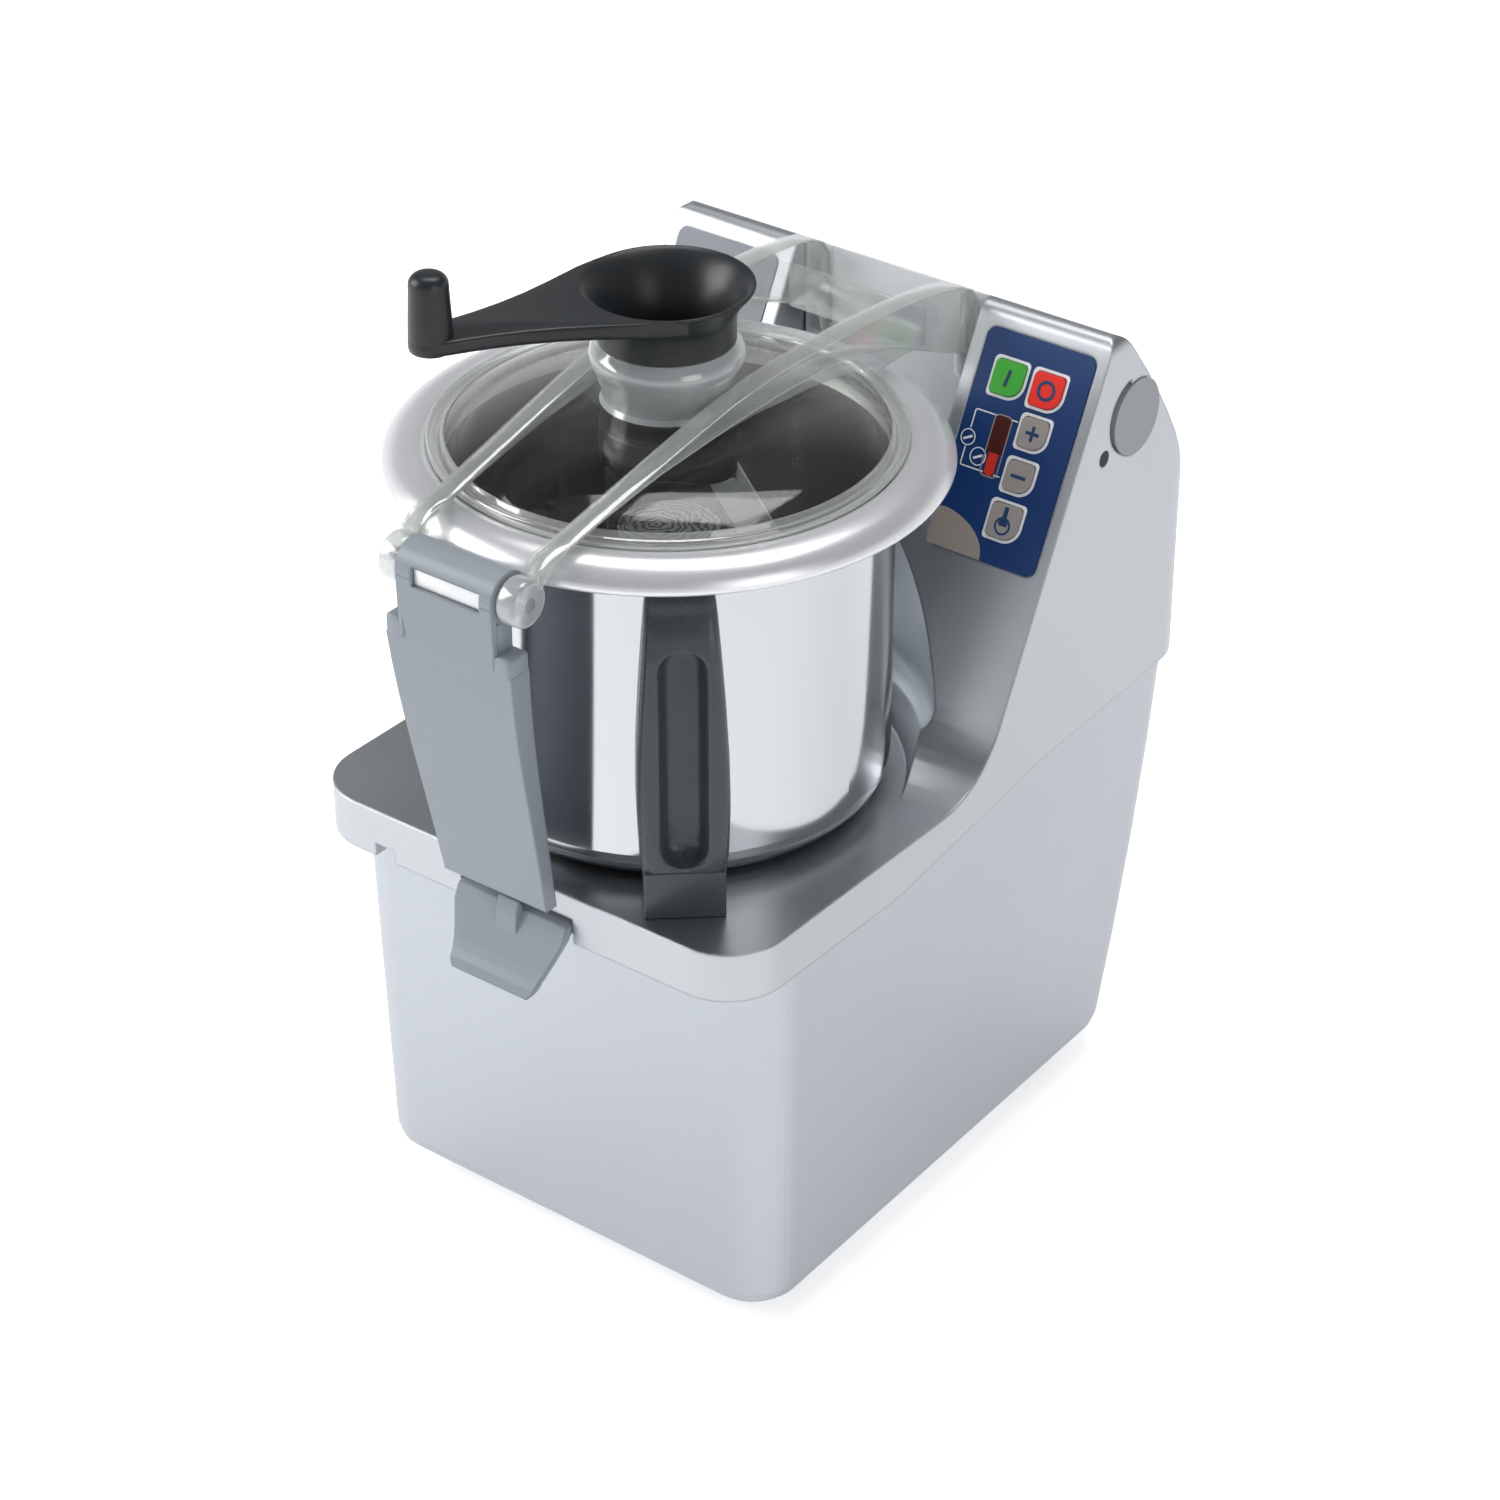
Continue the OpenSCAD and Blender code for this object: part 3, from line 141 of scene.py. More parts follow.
tree.links.new(shine.outputs[0], out.inputs["Surface"])
floor.data.materials.append(paper)
floor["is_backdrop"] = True

world = bpy.data.worlds.new("studio")
scene.world = world
world.use_nodes = True
tree = world.node_tree
tree.nodes.clear()
path = add(tree, "ShaderNodeLightPath")
seen = add(tree, "ShaderNodeMath",
           {0: path.outputs["Is Camera Ray"], 1: path.outputs["Is Transmission Ray"]},
           operation="MAXIMUM")
where = add(tree, "ShaderNodeTexCoord")
split = add(tree, "ShaderNodeSeparateXYZ", {0: where.outputs["Generated"]})
# The room above the sweep is darker, so that level polished faces look grey
room = add(tree, "ShaderNodeValToRGB", {0: split.outputs["Z"]})
room.color_ramp.elements[0].position = 0.0
room.color_ramp.elements[0].color = (0.78, 0.79, 0.80, 1)
room.color_ramp.elements[1].position = 0.9
room.color_ramp.elements[1].color = (0.20, 0.205, 0.215, 1)
for spot, grey in ROOM_GREYS:
    room.color_ramp.elements.new(spot).color = (grey, grey * 1.01, grey * 1.03, 1)
dim = add(tree, "ShaderNodeBackground", {"Color": linear("#F4F6FA"), "Strength": 0.50})
mirrored = add(tree, "ShaderNodeBackground", {"Color": room.outputs[0], "Strength": 1.0})
white = add(tree, "ShaderNodeBackground", {"Color": linear("#FFFFFF"), "Strength": 1.0})
light = add(tree, "ShaderNodeMixShader",
            {0: path.outputs["Is Glossy Ray"], 1: dim.outputs[0], 2: mirrored.outputs[0]})
mixed = add(tree, "ShaderNodeMixShader",
            {0: seen.outputs[0], 1: light.outputs[0], 2: white.outputs[0]})
add(tree, "ShaderNodeOutputWorld", {"Surface": mixed.outputs[0]})

for name, place, size, watts in SOFT_BOXES:
    box = bpy.data.lights.new(name, "AREA")
    box.shape = "RECTANGLE"
    box.size, box.size_y = size
    box.energy = watts
    stand = bpy.data.objects.new(name, box)
    stand.location = place
    stand.rotation_euler = (Vector(place) - LAMPS_AIM_AT).to_track_quat("Z", "Y").to_euler()
    scene.collection.objects.link(stand)

# --- Housing: top casting and lower body ------------------------------------
# The tray and the two hinge towers are one aluminium casting, ground and
# polished. The body below it is a drawn stainless shell with a satin grain.
LIP, FEET = -0.1625, 0.012
CAST_SHARP = 26  # degrees between faces above which an edge of the casting stays sharp
axis = Vector((0, LIP + 0.114, FEET))  # foot of the bowl's upright axis


# A pixel of the picture is half a millimetre wide, so finer grain is drawn at 0.6 to 1.2 mm
def grained(name, colour, metallic, rough, spread, grain_mm, bump,
            stretch=(1, 1, 1), soft_edge=0.0):
    """A surface whose roughness and relief vary with a grain of a real size."""
    made, tree, out = blank_material(name)
    at = add(tree, "ShaderNodeTexCoord")
    way = add(tree, "ShaderNodeMapping", {"Vector": at.outputs["Object"], "Scale": stretch})
    fine = add(tree, "ShaderNodeTexNoise",
               {"Vector": way.outputs[0], "Scale": 1000 / grain_mm, "Detail": 3.0})
    broad = add(tree, "ShaderNodeTexNoise",
                {"Vector": at.outputs["Object"], "Scale": 14.0, "Detail": 2.0})
    blend = add(tree, "ShaderNodeMath", {0: fine.outputs[0], 1: broad.outputs[0]}, operation="ADD")
    level = add(tree, "ShaderNodeMapRange",
                {"Value": blend.outputs[0], "From Min": 0.6, "From Max": 1.4,
                 "To Min": rough - spread, "To Max": rough + spread})
    skin = {"Base Color": linear(colour), "Metallic": metallic, "Roughness": level.outputs[0]}
    normal = None
    if soft_edge:
        normal = add(tree, "ShaderNodeBevel", {"Radius": soft_edge}, samples=4).outputs[0]
    if bump:
        relief = add(tree, "ShaderNodeBump",
                     {"Height": fine.outputs[0], "Strength": bump, "Distance": 0.0002})
        if normal:
            tree.links.new(normal, relief.inputs["Normal"])
        normal = relief.outputs[0]
    if normal:
        skin["Normal"] = normal
    surface = add(tree, "ShaderNodeBsdfPrincipled", skin)
    tree.links.new(surface.outputs[0], out.inputs["Surface"])
    return made


def dress(material, *names):
    """Gives CAD nodes that keep their shape a finished material."""
    for name in names:
        nodes[name].data.materials.clear()
        nodes[name].data.materials.append(material)


def piece(name, shape, material, body, slot, *stands_for, smooth=30):
    """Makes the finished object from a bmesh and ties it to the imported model."""
    mesh = bpy.data.meshes.new(name)
    shape.to_mesh(mesh)
    shape.free()
    mesh.shade_smooth()
    made = bpy.data.objects.new(name, mesh)
    scene.collection.objects.link(made)
    mesh.materials.append(material)
    mesh.set_sharp_from_angle(angle=math.radians(smooth))
    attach(made, body)
    if stands_for:
        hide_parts(*stands_for)
    return made


# Polished casting: soft, faintly cloudy reflections
cast = grained("polished cast aluminium", "#C6CACE", 1.0, 0.36, 0.03, 0.7, 0.004, soft_edge=0.002)
# Satin sheet: level grain that blurs what it mirrors
shell = grained("satin stainless sheet", "#C3C8CD", 1.0, 0.36, 0.05, 1.2, 0.04,
                stretch=(0.04, 0.04, 1), soft_edge=0.001)
dress(shell, "lower_body", "base_plate")
# The casting's back and crests are one smooth curve, so a copy of its mesh is shaded smooth
source = nodes["top_casting"]
casting = bmesh.new()
dots = [casting.verts.new(source.matrix_world @ v.co) for v in source.data.vertices]
for face in source.data.polygons:
    casting.faces.new([dots[k] for k in face.vertices])
bmesh.ops.remove_doubles(casting, verts=casting.verts, dist=2e-6)
casting = piece("casting_skin", casting, cast, "housing", "cast_aluminium", "top_casting",
                smooth=CAST_SHARP)
casting.modifiers.new("face area normals", "WEIGHTED_NORMAL").keep_sharp = True

# --- Bowl -------------------------------------------------------------------
# Spun from one stainless disc, with a thick rolled rim. Spinning leaves very
# fine level rings that draw the reflections out sideways; the rim is satin.
BOWL_OUTSIDE = 0.1016  # radius in metres that parts the inner from the outer face
SPUN = (0.02, 0.02, 1)  # draws the grain out level, as spinning does
RIM_PROFILE = [
    (101, 384), (102.6, 386.6), (104.6, 389.6), (106.8, 393), (108, 394.8), (109.4, 395.9),
    (112, 396.8), (115, 397), (118, 396.7), (121, 395.8), (124, 394.2), (126.4, 392.2),
    (128.3, 389.9), (129.3, 387.6), (129.5, 386.2), (128.6, 384.8), (126.6, 384), (101, 384)]


def turned_from(profile, steps=96):
    """Spins a profile of (radius, height) in millimetres round the upright axis."""
    shape = bmesh.new()
    points = [shape.verts.new((r / 1000, 0, z / 1000)) for r, z in profile]
    edges = [shape.edges.new(pair) for pair in zip(points, points[1:])]
    bmesh.ops.spin(shape, geom=points + edges, axis=(0, 0, 1), cent=(0, 0, 0),
                   angle=math.tau, steps=steps, use_merge=True)
    bmesh.ops.remove_doubles(shape, verts=shape.verts, dist=1e-6)
    bmesh.ops.recalc_face_normals(shape, faces=shape.faces)
    return shape


def on_axis(shape, offset=Vector((0, 0, 0))):
    """Carries a shape made round the origin to the bowl's axis, or beside it."""
    bmesh.ops.translate(shape, verts=shape.verts, vec=axis + offset)
    return shape


# Spun and polished steel: close to a mirror, with the grain of its level rings
bowl_steel = grained("spun stainless, painted shade inside", "#D6D8DA", 1.0, 0.12, 0.03, 1.0, 0.02, stretch=SPUN)
# Inside, the wall is painted a shade darker than the polished outside: painted shade in the hollow
# of the bowl
tree = bowl_steel.node_tree
at = add(tree, "ShaderNodeTexCoord")
centred = add(tree, "ShaderNodeVectorMath",
              {0: at.outputs["Object"], 1: (-axis.x, -axis.y, 0)}, operation="ADD")
level_only = add(tree, "ShaderNodeVectorMath",
                 {0: centred.outputs[0], 1: (1, 1, 0)}, operation="MULTIPLY")
radius = add(tree, "ShaderNodeVectorMath", {0: level_only.outputs[0]}, operation="LENGTH")
outside = add(tree, "ShaderNodeMath",
              {0: radius.outputs["Value"], 1: BOWL_OUTSIDE}, operation="GREATER_THAN")
# Painted shade: the inner face takes the darker colour
tone = add(tree, "ShaderNodeMix",
           {"Factor": outside.outputs[0], 6: linear("#A9ABAC"), 7: linear("#D6D8DA")},
           data_type="RGBA")
skin = next(node for node in tree.nodes if node.type == "BSDF_PRINCIPLED")
tree.links.new(tone.outputs[2], skin.inputs["Base Color"])
dress(bowl_steel, "bowl", "bowl_chimney")
# Satin rim: a pale, soft gleam beside the mirror of the bowl
rim_steel = grained("satin rolled rim", "#F0F1F3", 0.66, 0.30, 0.04, 1.0, 0.02, stretch=SPUN)
piece("rolled_rim", on_axis(turned_from(RIM_PROFILE, steps=144)), rim_steel,
      "housing", "bowl_steel", "bowl_rim", smooth=50)

# --- Bowl handle ------------------------------------------------------------
# Moulded in dark grey glass-filled nylon: a square foot, a grip that swells at
# mid-height and a long thumb groove. It is pushed onto two welded studs.
HANDLE_TURN = math.radians(-49)
HANDLE_ROOT = 102.6  # radius of the face that lies along the bowl
FOOT_TOP = 243.4
GROOVE_LOW, GROOVE_HIGH = 255.4, 344.2  # centres of the groove's round ends
GROOVE_R, GROOVE_DEEP = 9.8, 10.8
# By height: half the width, and the radius of the front
HALF_WIDTHS = [(220.3, 18.3), (243.2, 18.3), (243.8, 19.0), (250, 19.8), (275, 20.6), (300, 20.2),
               (330, 18.6), (352, 17.0), (366, 15.9), (372, 15.2), (374, 14.2)]
FRONTS = [(220.3, 127), (243.2, 127), (243.8, 126.4), (250, 127), (280, 127.8), (320, 127),
          (350, 124), (362, 120.5), (369, 116), (372.5, 111.5), (374, 107)]
# Heights of the rings: the foot, the groove's lower end, its length, its upper end, the top
LEVELS = ([220.3, 220.8, 242.7, 243.2, 243.8, 245]
          + [GROOVE_LOW - GROOVE_R * math.cos(math.radians(a)) for a in (8, 20, 35, 50, 70, 90)]
          + [262 + 6 * i for i in range(14)]
          + [GROOVE_HIGH + GROOVE_R * math.sin(math.radians(a)) for a in (0, 20, 40, 55, 70, 82)]
          + [355, 358, 362, 366, 369, 371, 372.5, 373.5, 374])


def lofted(rings):
    """Joins rings of equally many points, in millimetres, and closes the first and last."""
    shape = bmesh.new()
    rows = [[shape.verts.new((x / 1000, y / 1000, z / 1000)) for x, y, z in ring] for ring in rings]
    for low, high in zip(rows, rows[1:]):
        for i in range(len(low)):
            j = (i + 1) % len(low)
            shape.faces.new((low[i], low[j], high[j], high[i]))
    shape.faces.new(rows[0])
    shape.faces.new(rows[-1])
    bmesh.ops.remove_doubles(shape, verts=shape.verts, dist=1e-6)
    bmesh.ops.recalc_face_normals(shape, faces=shape.faces)
    return shape


def along(table, z):
    """The value of a table of (height, value) at one height."""
    for (z0, v0), (z1, v1) in zip(table, table[1:]):
        if z <= z1:
            return v0 + (v1 - v0) * (z - z0) / (z1 - z0)
    return table[-1][1]


# Glass-filled nylon: dark grey, with a soft sheen on its rounded edges
nylon = grained("dark grey glass-filled nylon", "#3F454A", 0.0, 0.28, 0.03, 0.7, 0.006)
rings = []
for z in LEVELS:
    w, front = along(HALF_WIDTHS, z), along(FRONTS, z)
    end = max(0.0, GROOVE_LOW - z, z - GROOVE_HIGH) / GROOVE_R
    g = GROOVE_R * math.sqrt(max(0.004, 1 - end * end)) if end < 1 else 0.6
    deep = GROOVE_DEEP * min(1.0, max(0.0, 1.0 - end) * 2.4)
    corner = 1.2 if z < FOOT_TOP else 5.5 - 1.5 * max(0.0, (z - 350) / 24)
    lip = min(w - corner, g + 3.2)
    # Half a section as (radius, sideways): the root, a rounded corner, the lip and the groove
    half = [(math.sqrt(HANDLE_ROOT ** 2 - w * w), w)]
    half += [(front - corner + corner * math.sin(math.radians(a)),
              w - corner + corner * math.cos(math.radians(a))) for a in (0, 25, 45, 65, 90)]
    half += [(front - deep * s, side) for s, side in (
        (0.0, lip), (0.03, g + 1.7), (0.12, g + 0.7), (0.30, g), (0.72, g - 0.12 * g),
        (0.90, g * 0.66), (0.98, g * 0.35))]
    section = half + [(front - deep * 1.01, 0.0)] + [(r, -t) for r, t in reversed(half)]
    rings.append([(r, t, z) for r, t in section + [(HANDLE_ROOT, 0.0)]])
moulding = lofted(rings)
bmesh.ops.rotate(moulding, verts=moulding.verts, cent=(0, 0, 0),
                 matrix=Matrix.Rotation(HANDLE_TURN, 3, "Z"))
piece("handle_moulding", on_axis(moulding), nylon,
      "housing", "handle_plastic", "bowl_handle", smooth=42)

# --- Lid --------------------------------------------------------------------
# Injection-moulded clear polycarbonate: a disc with a stepped neck, two deep
# arms with thick edges that run from the lugs to the hinge, and a cross wall.
ARM_X, ARM_TOE_IN = 0.033, 1.9  # distance from the middle in metres, degrees
LUG_Y, LUG_Z = -0.028, 0.385  # the latch pin in the lugs, in metres
WEB_THICK, WEB_INSET = 8, 0.7
BAND_THICK, BAND_WIDE = 10.6, 1.3
SHARP_TURN = 1.2  # radians; edges of a band that turn more are rounded
DISC_PROFILE = [
    (28, 411), (33, 409), (60, 407), (84, 402), (95, 396.5), (99.9, 391), (99.9, 399.6),
    (93, 404), (84, 407.6), (72, 410.2), (58, 412), (41, 413), (31, 414.4), (28, 415), (28, 411)]
NECK_PROFILE = [
    (28, 415), (30.6, 414.5), (29.4, 417), (29.7, 420), (30.8, 423.6), (31.9, 427), (32.6, 430),
    (33.1, 431), (34.2, 433), (34.8, 435.5), (34.9, 437.5), (34.4, 439.5), (33, 441.5),
    (31.6, 442.8), (31, 443.5), (28, 443.5), (28, 415)]
# Outline of an arm from the side as (depth, height), first along its top
ARM_TOP = [(-14, 401), (-1, 402.8), (8, 404.6), (27, 408.8), (47, 413.2), (67, 417.7), (87, 422),
           (108, 425.9), (128, 428.4), (150, 429.8), (174, 430.2), (198, 430.2), (220, 429.2),
           (241, 427.6), (262, 424.6), (274, 421.8), (283, 417), (288, 410)]
ARM_REAR = [(288, 396), (288, 369), (283.5, 369), (281.5, 383.5), (262, 392), (241, 401)]
LUG_END = [(-17.5, 391), (-22, 388), (-23, 396)]
BAND_LINE = ARM_TOP + ARM_REAR + [
    (228, 407), (216, 411), (200, 415), (177, 417.8), (146, 417.8), (116, 416.4), (87, 413.9),
    (58, 411.2), (38, 408), (12, 403.6), (-2, 400.4), (-12, 397.8)] + LUG_END
WEB_LINE = ARM_TOP + ARM_REAR + [
    (232, 401.6), (216, 400.6), (206, 405), (190, 408.6), (160, 411.8), (140, 412.8),
    (126, 413.8), (102, 413.8), (88, 412.8), (68, 411.8), (38, 408.2), (22, 404.6), (12, 400.6),
    (-6, 399), (-15, 396)] + LUG_END


def clear_moulding(name, haze, edge, skin, mirror=0.05, rough=0.07):
    """Clear plastic as a thin skin: see-through face on, paler and shinier at a slant."""
    made, tree, out = blank_material(name)
    at = add(tree, "ShaderNodeTexCoord")
    wave = add(tree, "ShaderNodeTexNoise",
               {"Vector": at.outputs["Object"], "Scale": 45.0, "Detail": 2.0})
    relief = add(tree, "ShaderNodeBump",
                 {"Height": wave.outputs[0], "Strength": 0.10, "Distance": 0.001})
    slant = add(tree, "ShaderNodeLayerWeight", {"Blend": 0.5, "Normal": relief.outputs[0]})
    steep = add(tree, "ShaderNodeMath", {0: slant.outputs["Facing"], 1: 4.0}, operation="POWER")
    shine = add(tree, "ShaderNodeMapRange",
                {"Value": steep.outputs[0], "To Min": mirror, "To Max": 0.85})
    milk = add(tree, "ShaderNodeMapRange",
               {"Value": slant.outputs["Facing"], "From Min": 0.45, "To Min": haze, "To Max": edge})
    through = add(tree, "ShaderNodeBsdfTransparent", {"Color": linear("#F6F7F5")})
    pale = add(tree, "ShaderNodeBsdfDiffuse", {"Color": linear(skin)})
    gloss = add(tree, "ShaderNodeBsdfGlossy",
                {"Color": linear("#FFFFFF"), "Roughness": rough, "Normal": relief.outputs[0]})
    inner = add(tree, "ShaderNodeMixShader",
                {0: milk.outputs[0], 1: through.outputs[0], 2: pale.outputs[0]})
    surface = add(tree, "ShaderNodeMixShader",
                  {0: shine.outputs[0], 1: inner.outputs[0], 2: gloss.outputs[0]})
    tree.links.new(surface.outputs[0], out.inputs["Surface"])
    return made


def rounded_arc(cx, cz, r, a0, a1, n=6):
    """Points of an arc in a profile, in millimetres and degrees."""
    angles = [math.radians(a0 + (a1 - a0) * i / n) for i in range(n + 1)]
    return [(cx + r * math.cos(a), cz + r * math.sin(a)) for a in angles]


def inset(points, by):
    """A closed outline moved inwards by one distance."""
    moved = []
    for i, (x, y) in enumerate(points):
        (ax, ay), (bx, by_) = points[i - 1], points[(i + 1) % len(points)]
        n1 = Vector((y - ay, ax - x)).normalized()
        n2 = Vector((by_ - y, x - bx)).normalized()
        way = (n1 + n2).normalized()
        step = by / max(0.5, way.dot(n1))
        moved.append((x + way.x * step, y + way.y * step))
    return moved


def extruded(shape, vec):
    """Thickens the faces of a flat shape along a vector and turns all faces outwards."""
    grown = bmesh.ops.extrude_face_region(shape, geom=shape.faces[:])
    far = [v for v in grown["geom"] if isinstance(v, bmesh.types.BMVert)]
    bmesh.ops.translate(shape, verts=far, vec=vec)
    bmesh.ops.recalc_face_normals(shape, faces=shape.faces)
    return shape


def side_slab(points, thick, hole=None):
    """A plate seen from the side, or the band between two outlines, upright along the depth."""
    shape = bmesh.new()
    for line in (points, hole or []):
        dots = [shape.verts.new((-thick / 2000, y / 1000, z / 1000)) for y, z in line]
        for pair in zip(dots, dots[1:] + dots[:1]):
            shape.edges.new(pair)
    if hole:
        count = len(points)
        shape.verts.ensure_lookup_table()
        for i in range(count):
            j = (i + 1) % count
            shape.faces.new([shape.verts[k] for k in (i, j, j + count, i + count)])
    else:
        shape.faces.new(shape.verts[:])
    return extruded(shape, (thick / 1000, 0, 0))


def softened(shape, edges, by, segments=2):
    """Rounds some edges of a shape by a radius in metres."""
    bmesh.ops.bevel(shape, geom=edges, offset=by, offset_type="OFFSET", affect="EDGES",
                    segments=segments, profile=0.5, material=-1)
    return shape


# Moulded polycarbonate: hardly seen face on, bright along its edges, and paler where it is thick
clear = clear_moulding("clear polycarbonate sheet", 0.01, 0.22, "#E8E8E4", mirror=0.04)
web_clear = clear_moulding("clear polycarbonate web", 0.17, 0.45, "#DDE0E2",
                           mirror=0.12, rough=0.15)
thick_clear = clear_moulding("thick polycarbonate edge", 0.22, 0.62, "#E6E8E8", mirror=0.14)
bright_clear = clear_moulding("thick polycarbonate neck", 0.42, 0.80, "#DADDDF",
                              mirror=0.14, rough=0.12)
piece("lid_disc", on_axis(turned_from(DISC_PROFILE)), clear, "lid", "clear_plastic", "lid")
edge_profile = ([(100, 391), (103, 390.6), (103, 395)] + rounded_arc(106.9, 396.6, 1.5, -90, 0, 3)
                + rounded_arc(106.9, 398.6, 1.5, 0, 90, 3)
                + [(105.8, 399.6), (104.6, 398), (102, 397.8), (100.8, 399.9), (100, 400),
                   (100, 391)])
piece("lid_edge", on_axis(turned_from(edge_profile)), thick_clear, "lid", "clear_plastic")
piece("lid_neck", on_axis(turned_from(NECK_PROFILE)), bright_clear, "lid", "clear_plastic")
lug_profile = ([(3.3, -5.4), (8.6, -5.4)] + rounded_arc(8.8, -3.2, 2.2, -80, 0, 4)
               + rounded_arc(8.8, 3.2, 2.2, 0, 80, 4) + [(8.6, 5.4), (3.3, 5.4), (3.3, -5.4)])
for side, name in ((1, "right"), (-1, "left")):
    turn_in = (Matrix.Translation((side * ARM_X, LIP + LUG_Y, FEET))
               @ Matrix.Rotation(math.radians(-ARM_TOE_IN * side), 4, "Z")
               @ Matrix.Translation((0, -LUG_Y, 0)))
    web = side_slab(inset(WEB_LINE, WEB_INSET), WEB_THICK)
    bmesh.ops.transform(web, matrix=turn_in, verts=web.verts)
    piece(f"{name}_arm_web", web, web_clear, "lid", "clear_plastic",
          *(["lid_arms"] if side > 0 else []))
    band = side_slab(BAND_LINE, BAND_THICK, inset(BAND_LINE, BAND_WIDE))
    softened(band, [e for e in band.edges if e.calc_face_angle(0) > SHARP_TURN
                    and abs(e.verts[0].co.x - e.verts[1].co.x) < 1e-6], 0.0006)
    bmesh.ops.transform(band, matrix=turn_in, verts=band.verts)
    piece(f"{name}_arm_edge", band, thick_clear, "lid", "clear_plastic", smooth=35)
    lug = turned_from(lug_profile, steps=40)
    bmesh.ops.rotate(lug, verts=lug.verts, cent=(0, 0, 0),
                     matrix=Matrix.Rotation(math.radians(90), 3, "Y"))
    bmesh.ops.translate(lug, verts=lug.verts, vec=(side * ARM_X, LIP + LUG_Y, FEET + LUG_Z))
    piece(f"{name}_lug", lug, bright_clear, "lid", "clear_plastic", smooth=40)
wall = bmesh.new()
bmesh.ops.create_cube(wall, size=1, matrix=Matrix.Translation((0, LIP + 0.257, FEET + 0.404))
                      @ Matrix.Diagonal((0.078, 0.003, 0.022, 1)))
piece("cross_wall", softened(wall, wall.edges[:], 0.001), web_clear, "lid", "clear_plastic")
# Moulded silicone: pale and dull
silicone = grained("translucent silicone", "#C8C8C2", 0.0, 0.55, 0.05, 1.0, 0.0)
dress(silicone, "lid_seal")

# --- Crank, funnel and scraper ----------------------------------------------
# The funnel, its arm and the grip are moulded in black acetal with a fine matt
# texture; the arm runs flush off the rim. The scraper is the same plastic.
COLLAR_STEPS = 96
COLLAR_HIGH, COLLAR_CUT = 387.0, 14.0  # lower edge where it is cut back, and its longest drop
# Directions in which the collar hangs down, with their share of the drop
COLLAR_LOBES = ((154, 1.0), (37, 0.45))
CRANK_TURN = math.radians(245)
CRANK_LONG = 0.1125  # from the funnel's axis to the grip's, in metres
FUNNEL_TOP = 470.0
ARM_END_R = 10
# Half of the crank arm's outline from the grip to the funnel, along the arm and across it
ARM_SIDE = [(100, 11.6), (88, 13.4), (74, 16.5), (60, 20.8), (46, 26), (36, 30), (28, 33),
            (18, 35.9), (8.6, 38.2)]
# Heights of the arm's rings, with how far each one is drawn in
ARM_RINGS = ((463, 1.8), (463.4, 0.9), (464.6, 0.1), (465.6, 0), (468.2, 0), (469.2, 0.3),
             (469.8, 1.0), (470, 1.9))

# Moulded acetal: near black, with a fine matt texture
acetal = grained("black acetal", "#202427", 0.0, 0.36, 0.05, 0.8, 0.08)
dress(acetal, "wall_scraper")
# The collar is a sleeve round the crank tube, cut back at the front so that the cutter shows
collar = bmesh.new()
grid = []
for step in range(COLLAR_STEPS):
    turn = math.tau * step / COLLAR_STEPS
    hang = max(-0.2, *(share * math.cos(turn - math.radians(a)) for a, share in COLLAR_LOBES))
    low = COLLAR_HIGH - COLLAR_CUT * min(1.0, max(0.0, hang * 1.5 - 0.1))
    profile = ((31, low + 0.6), (31, 403.2), (30.3, 404), (27.5, 404), (27.5, 388.7),
               (22.5, 388.7), (22.5, low), (30.4, low))
    grid.append([collar.verts.new((r * math.cos(turn) / 1000, r * math.sin(turn) / 1000, z / 1000))
                 for r, z in profile])
for i, row in enumerate(grid):
    past = grid[(i + 1) % len(grid)]
    for k in range(len(row)):
        after = (k + 1) % len(row)
        collar.faces.new((row[k], past[k], past[after], row[after]))
bmesh.ops.recalc_face_normals(collar, faces=collar.faces)
piece("collar_sleeve", on_axis(collar), acetal, "scraper", "black_plastic", "scraper_collar",
      smooth=40)
funnel_profile = (
    [(22, 389.4), (27, 389.4), (27, 443.9), (30.6, 443.9), (31, 444.3), (31, 455), (31.9, 458.5),
     (34.2, 462.4), (37, 465.9), (38.9, 468)]
    + rounded_arc(38.8, FUNNEL_TOP - 0.8, 0.8, -30, 120, 5)
    + [(r, FUNNEL_TOP - drop) for r, drop in (
        (36.6, 1.2), (33.8, 3.8), (30.8, 7.4), (28, 12), (25.6, 17), (23.4, 22), (22, 28))]
    + [(22, 389.4)])
piece("funnel", on_axis(turned_from(funnel_profile)), acetal, "crank", "black_plastic",
      "crank_funnel", smooth=40)
far_end = [(CRANK_LONG * 1000 + ARM_END_R * math.cos(math.radians(a)),
            ARM_END_R * math.sin(math.radians(a))) for a in range(-80, 81, 16)]
outer = [(x, -y) for x, y in reversed(ARM_SIDE)] + far_end + ARM_SIDE
rings = []
for z, shrink in ARM_RINGS:
    ring = []
    for i, (x, y) in enumerate(outer):
        (ax, ay), (bx, by) = outer[max(i - 1, 0)], outer[min(i + 1, len(outer) - 1)]
        way = Vector((by - ay, ax - bx)).normalized()
        less = shrink * min(1, max(0.05, (x - 24) / 30))  # rounded less beside the funnel
        ring.append((x - way.x * less, y - way.y * less, z))
    inner_r = 34.2 + (z - 463) / 7 * 4.6  # follows the funnel's flare
    ring += [(inner_r * math.cos(math.radians(a)), inner_r * math.sin(math.radians(a)), z)
             for a in range(72, -73, -12)]
    rings.append(ring)
arm = lofted(rings)
bmesh.ops.rotate(arm, verts=arm.verts, cent=(0, 0, 0), matrix=Matrix.Rotation(CRANK_TURN, 3, "Z"))
piece("crank_arm", on_axis(arm), acetal, "crank", "black_plastic", smooth=40)
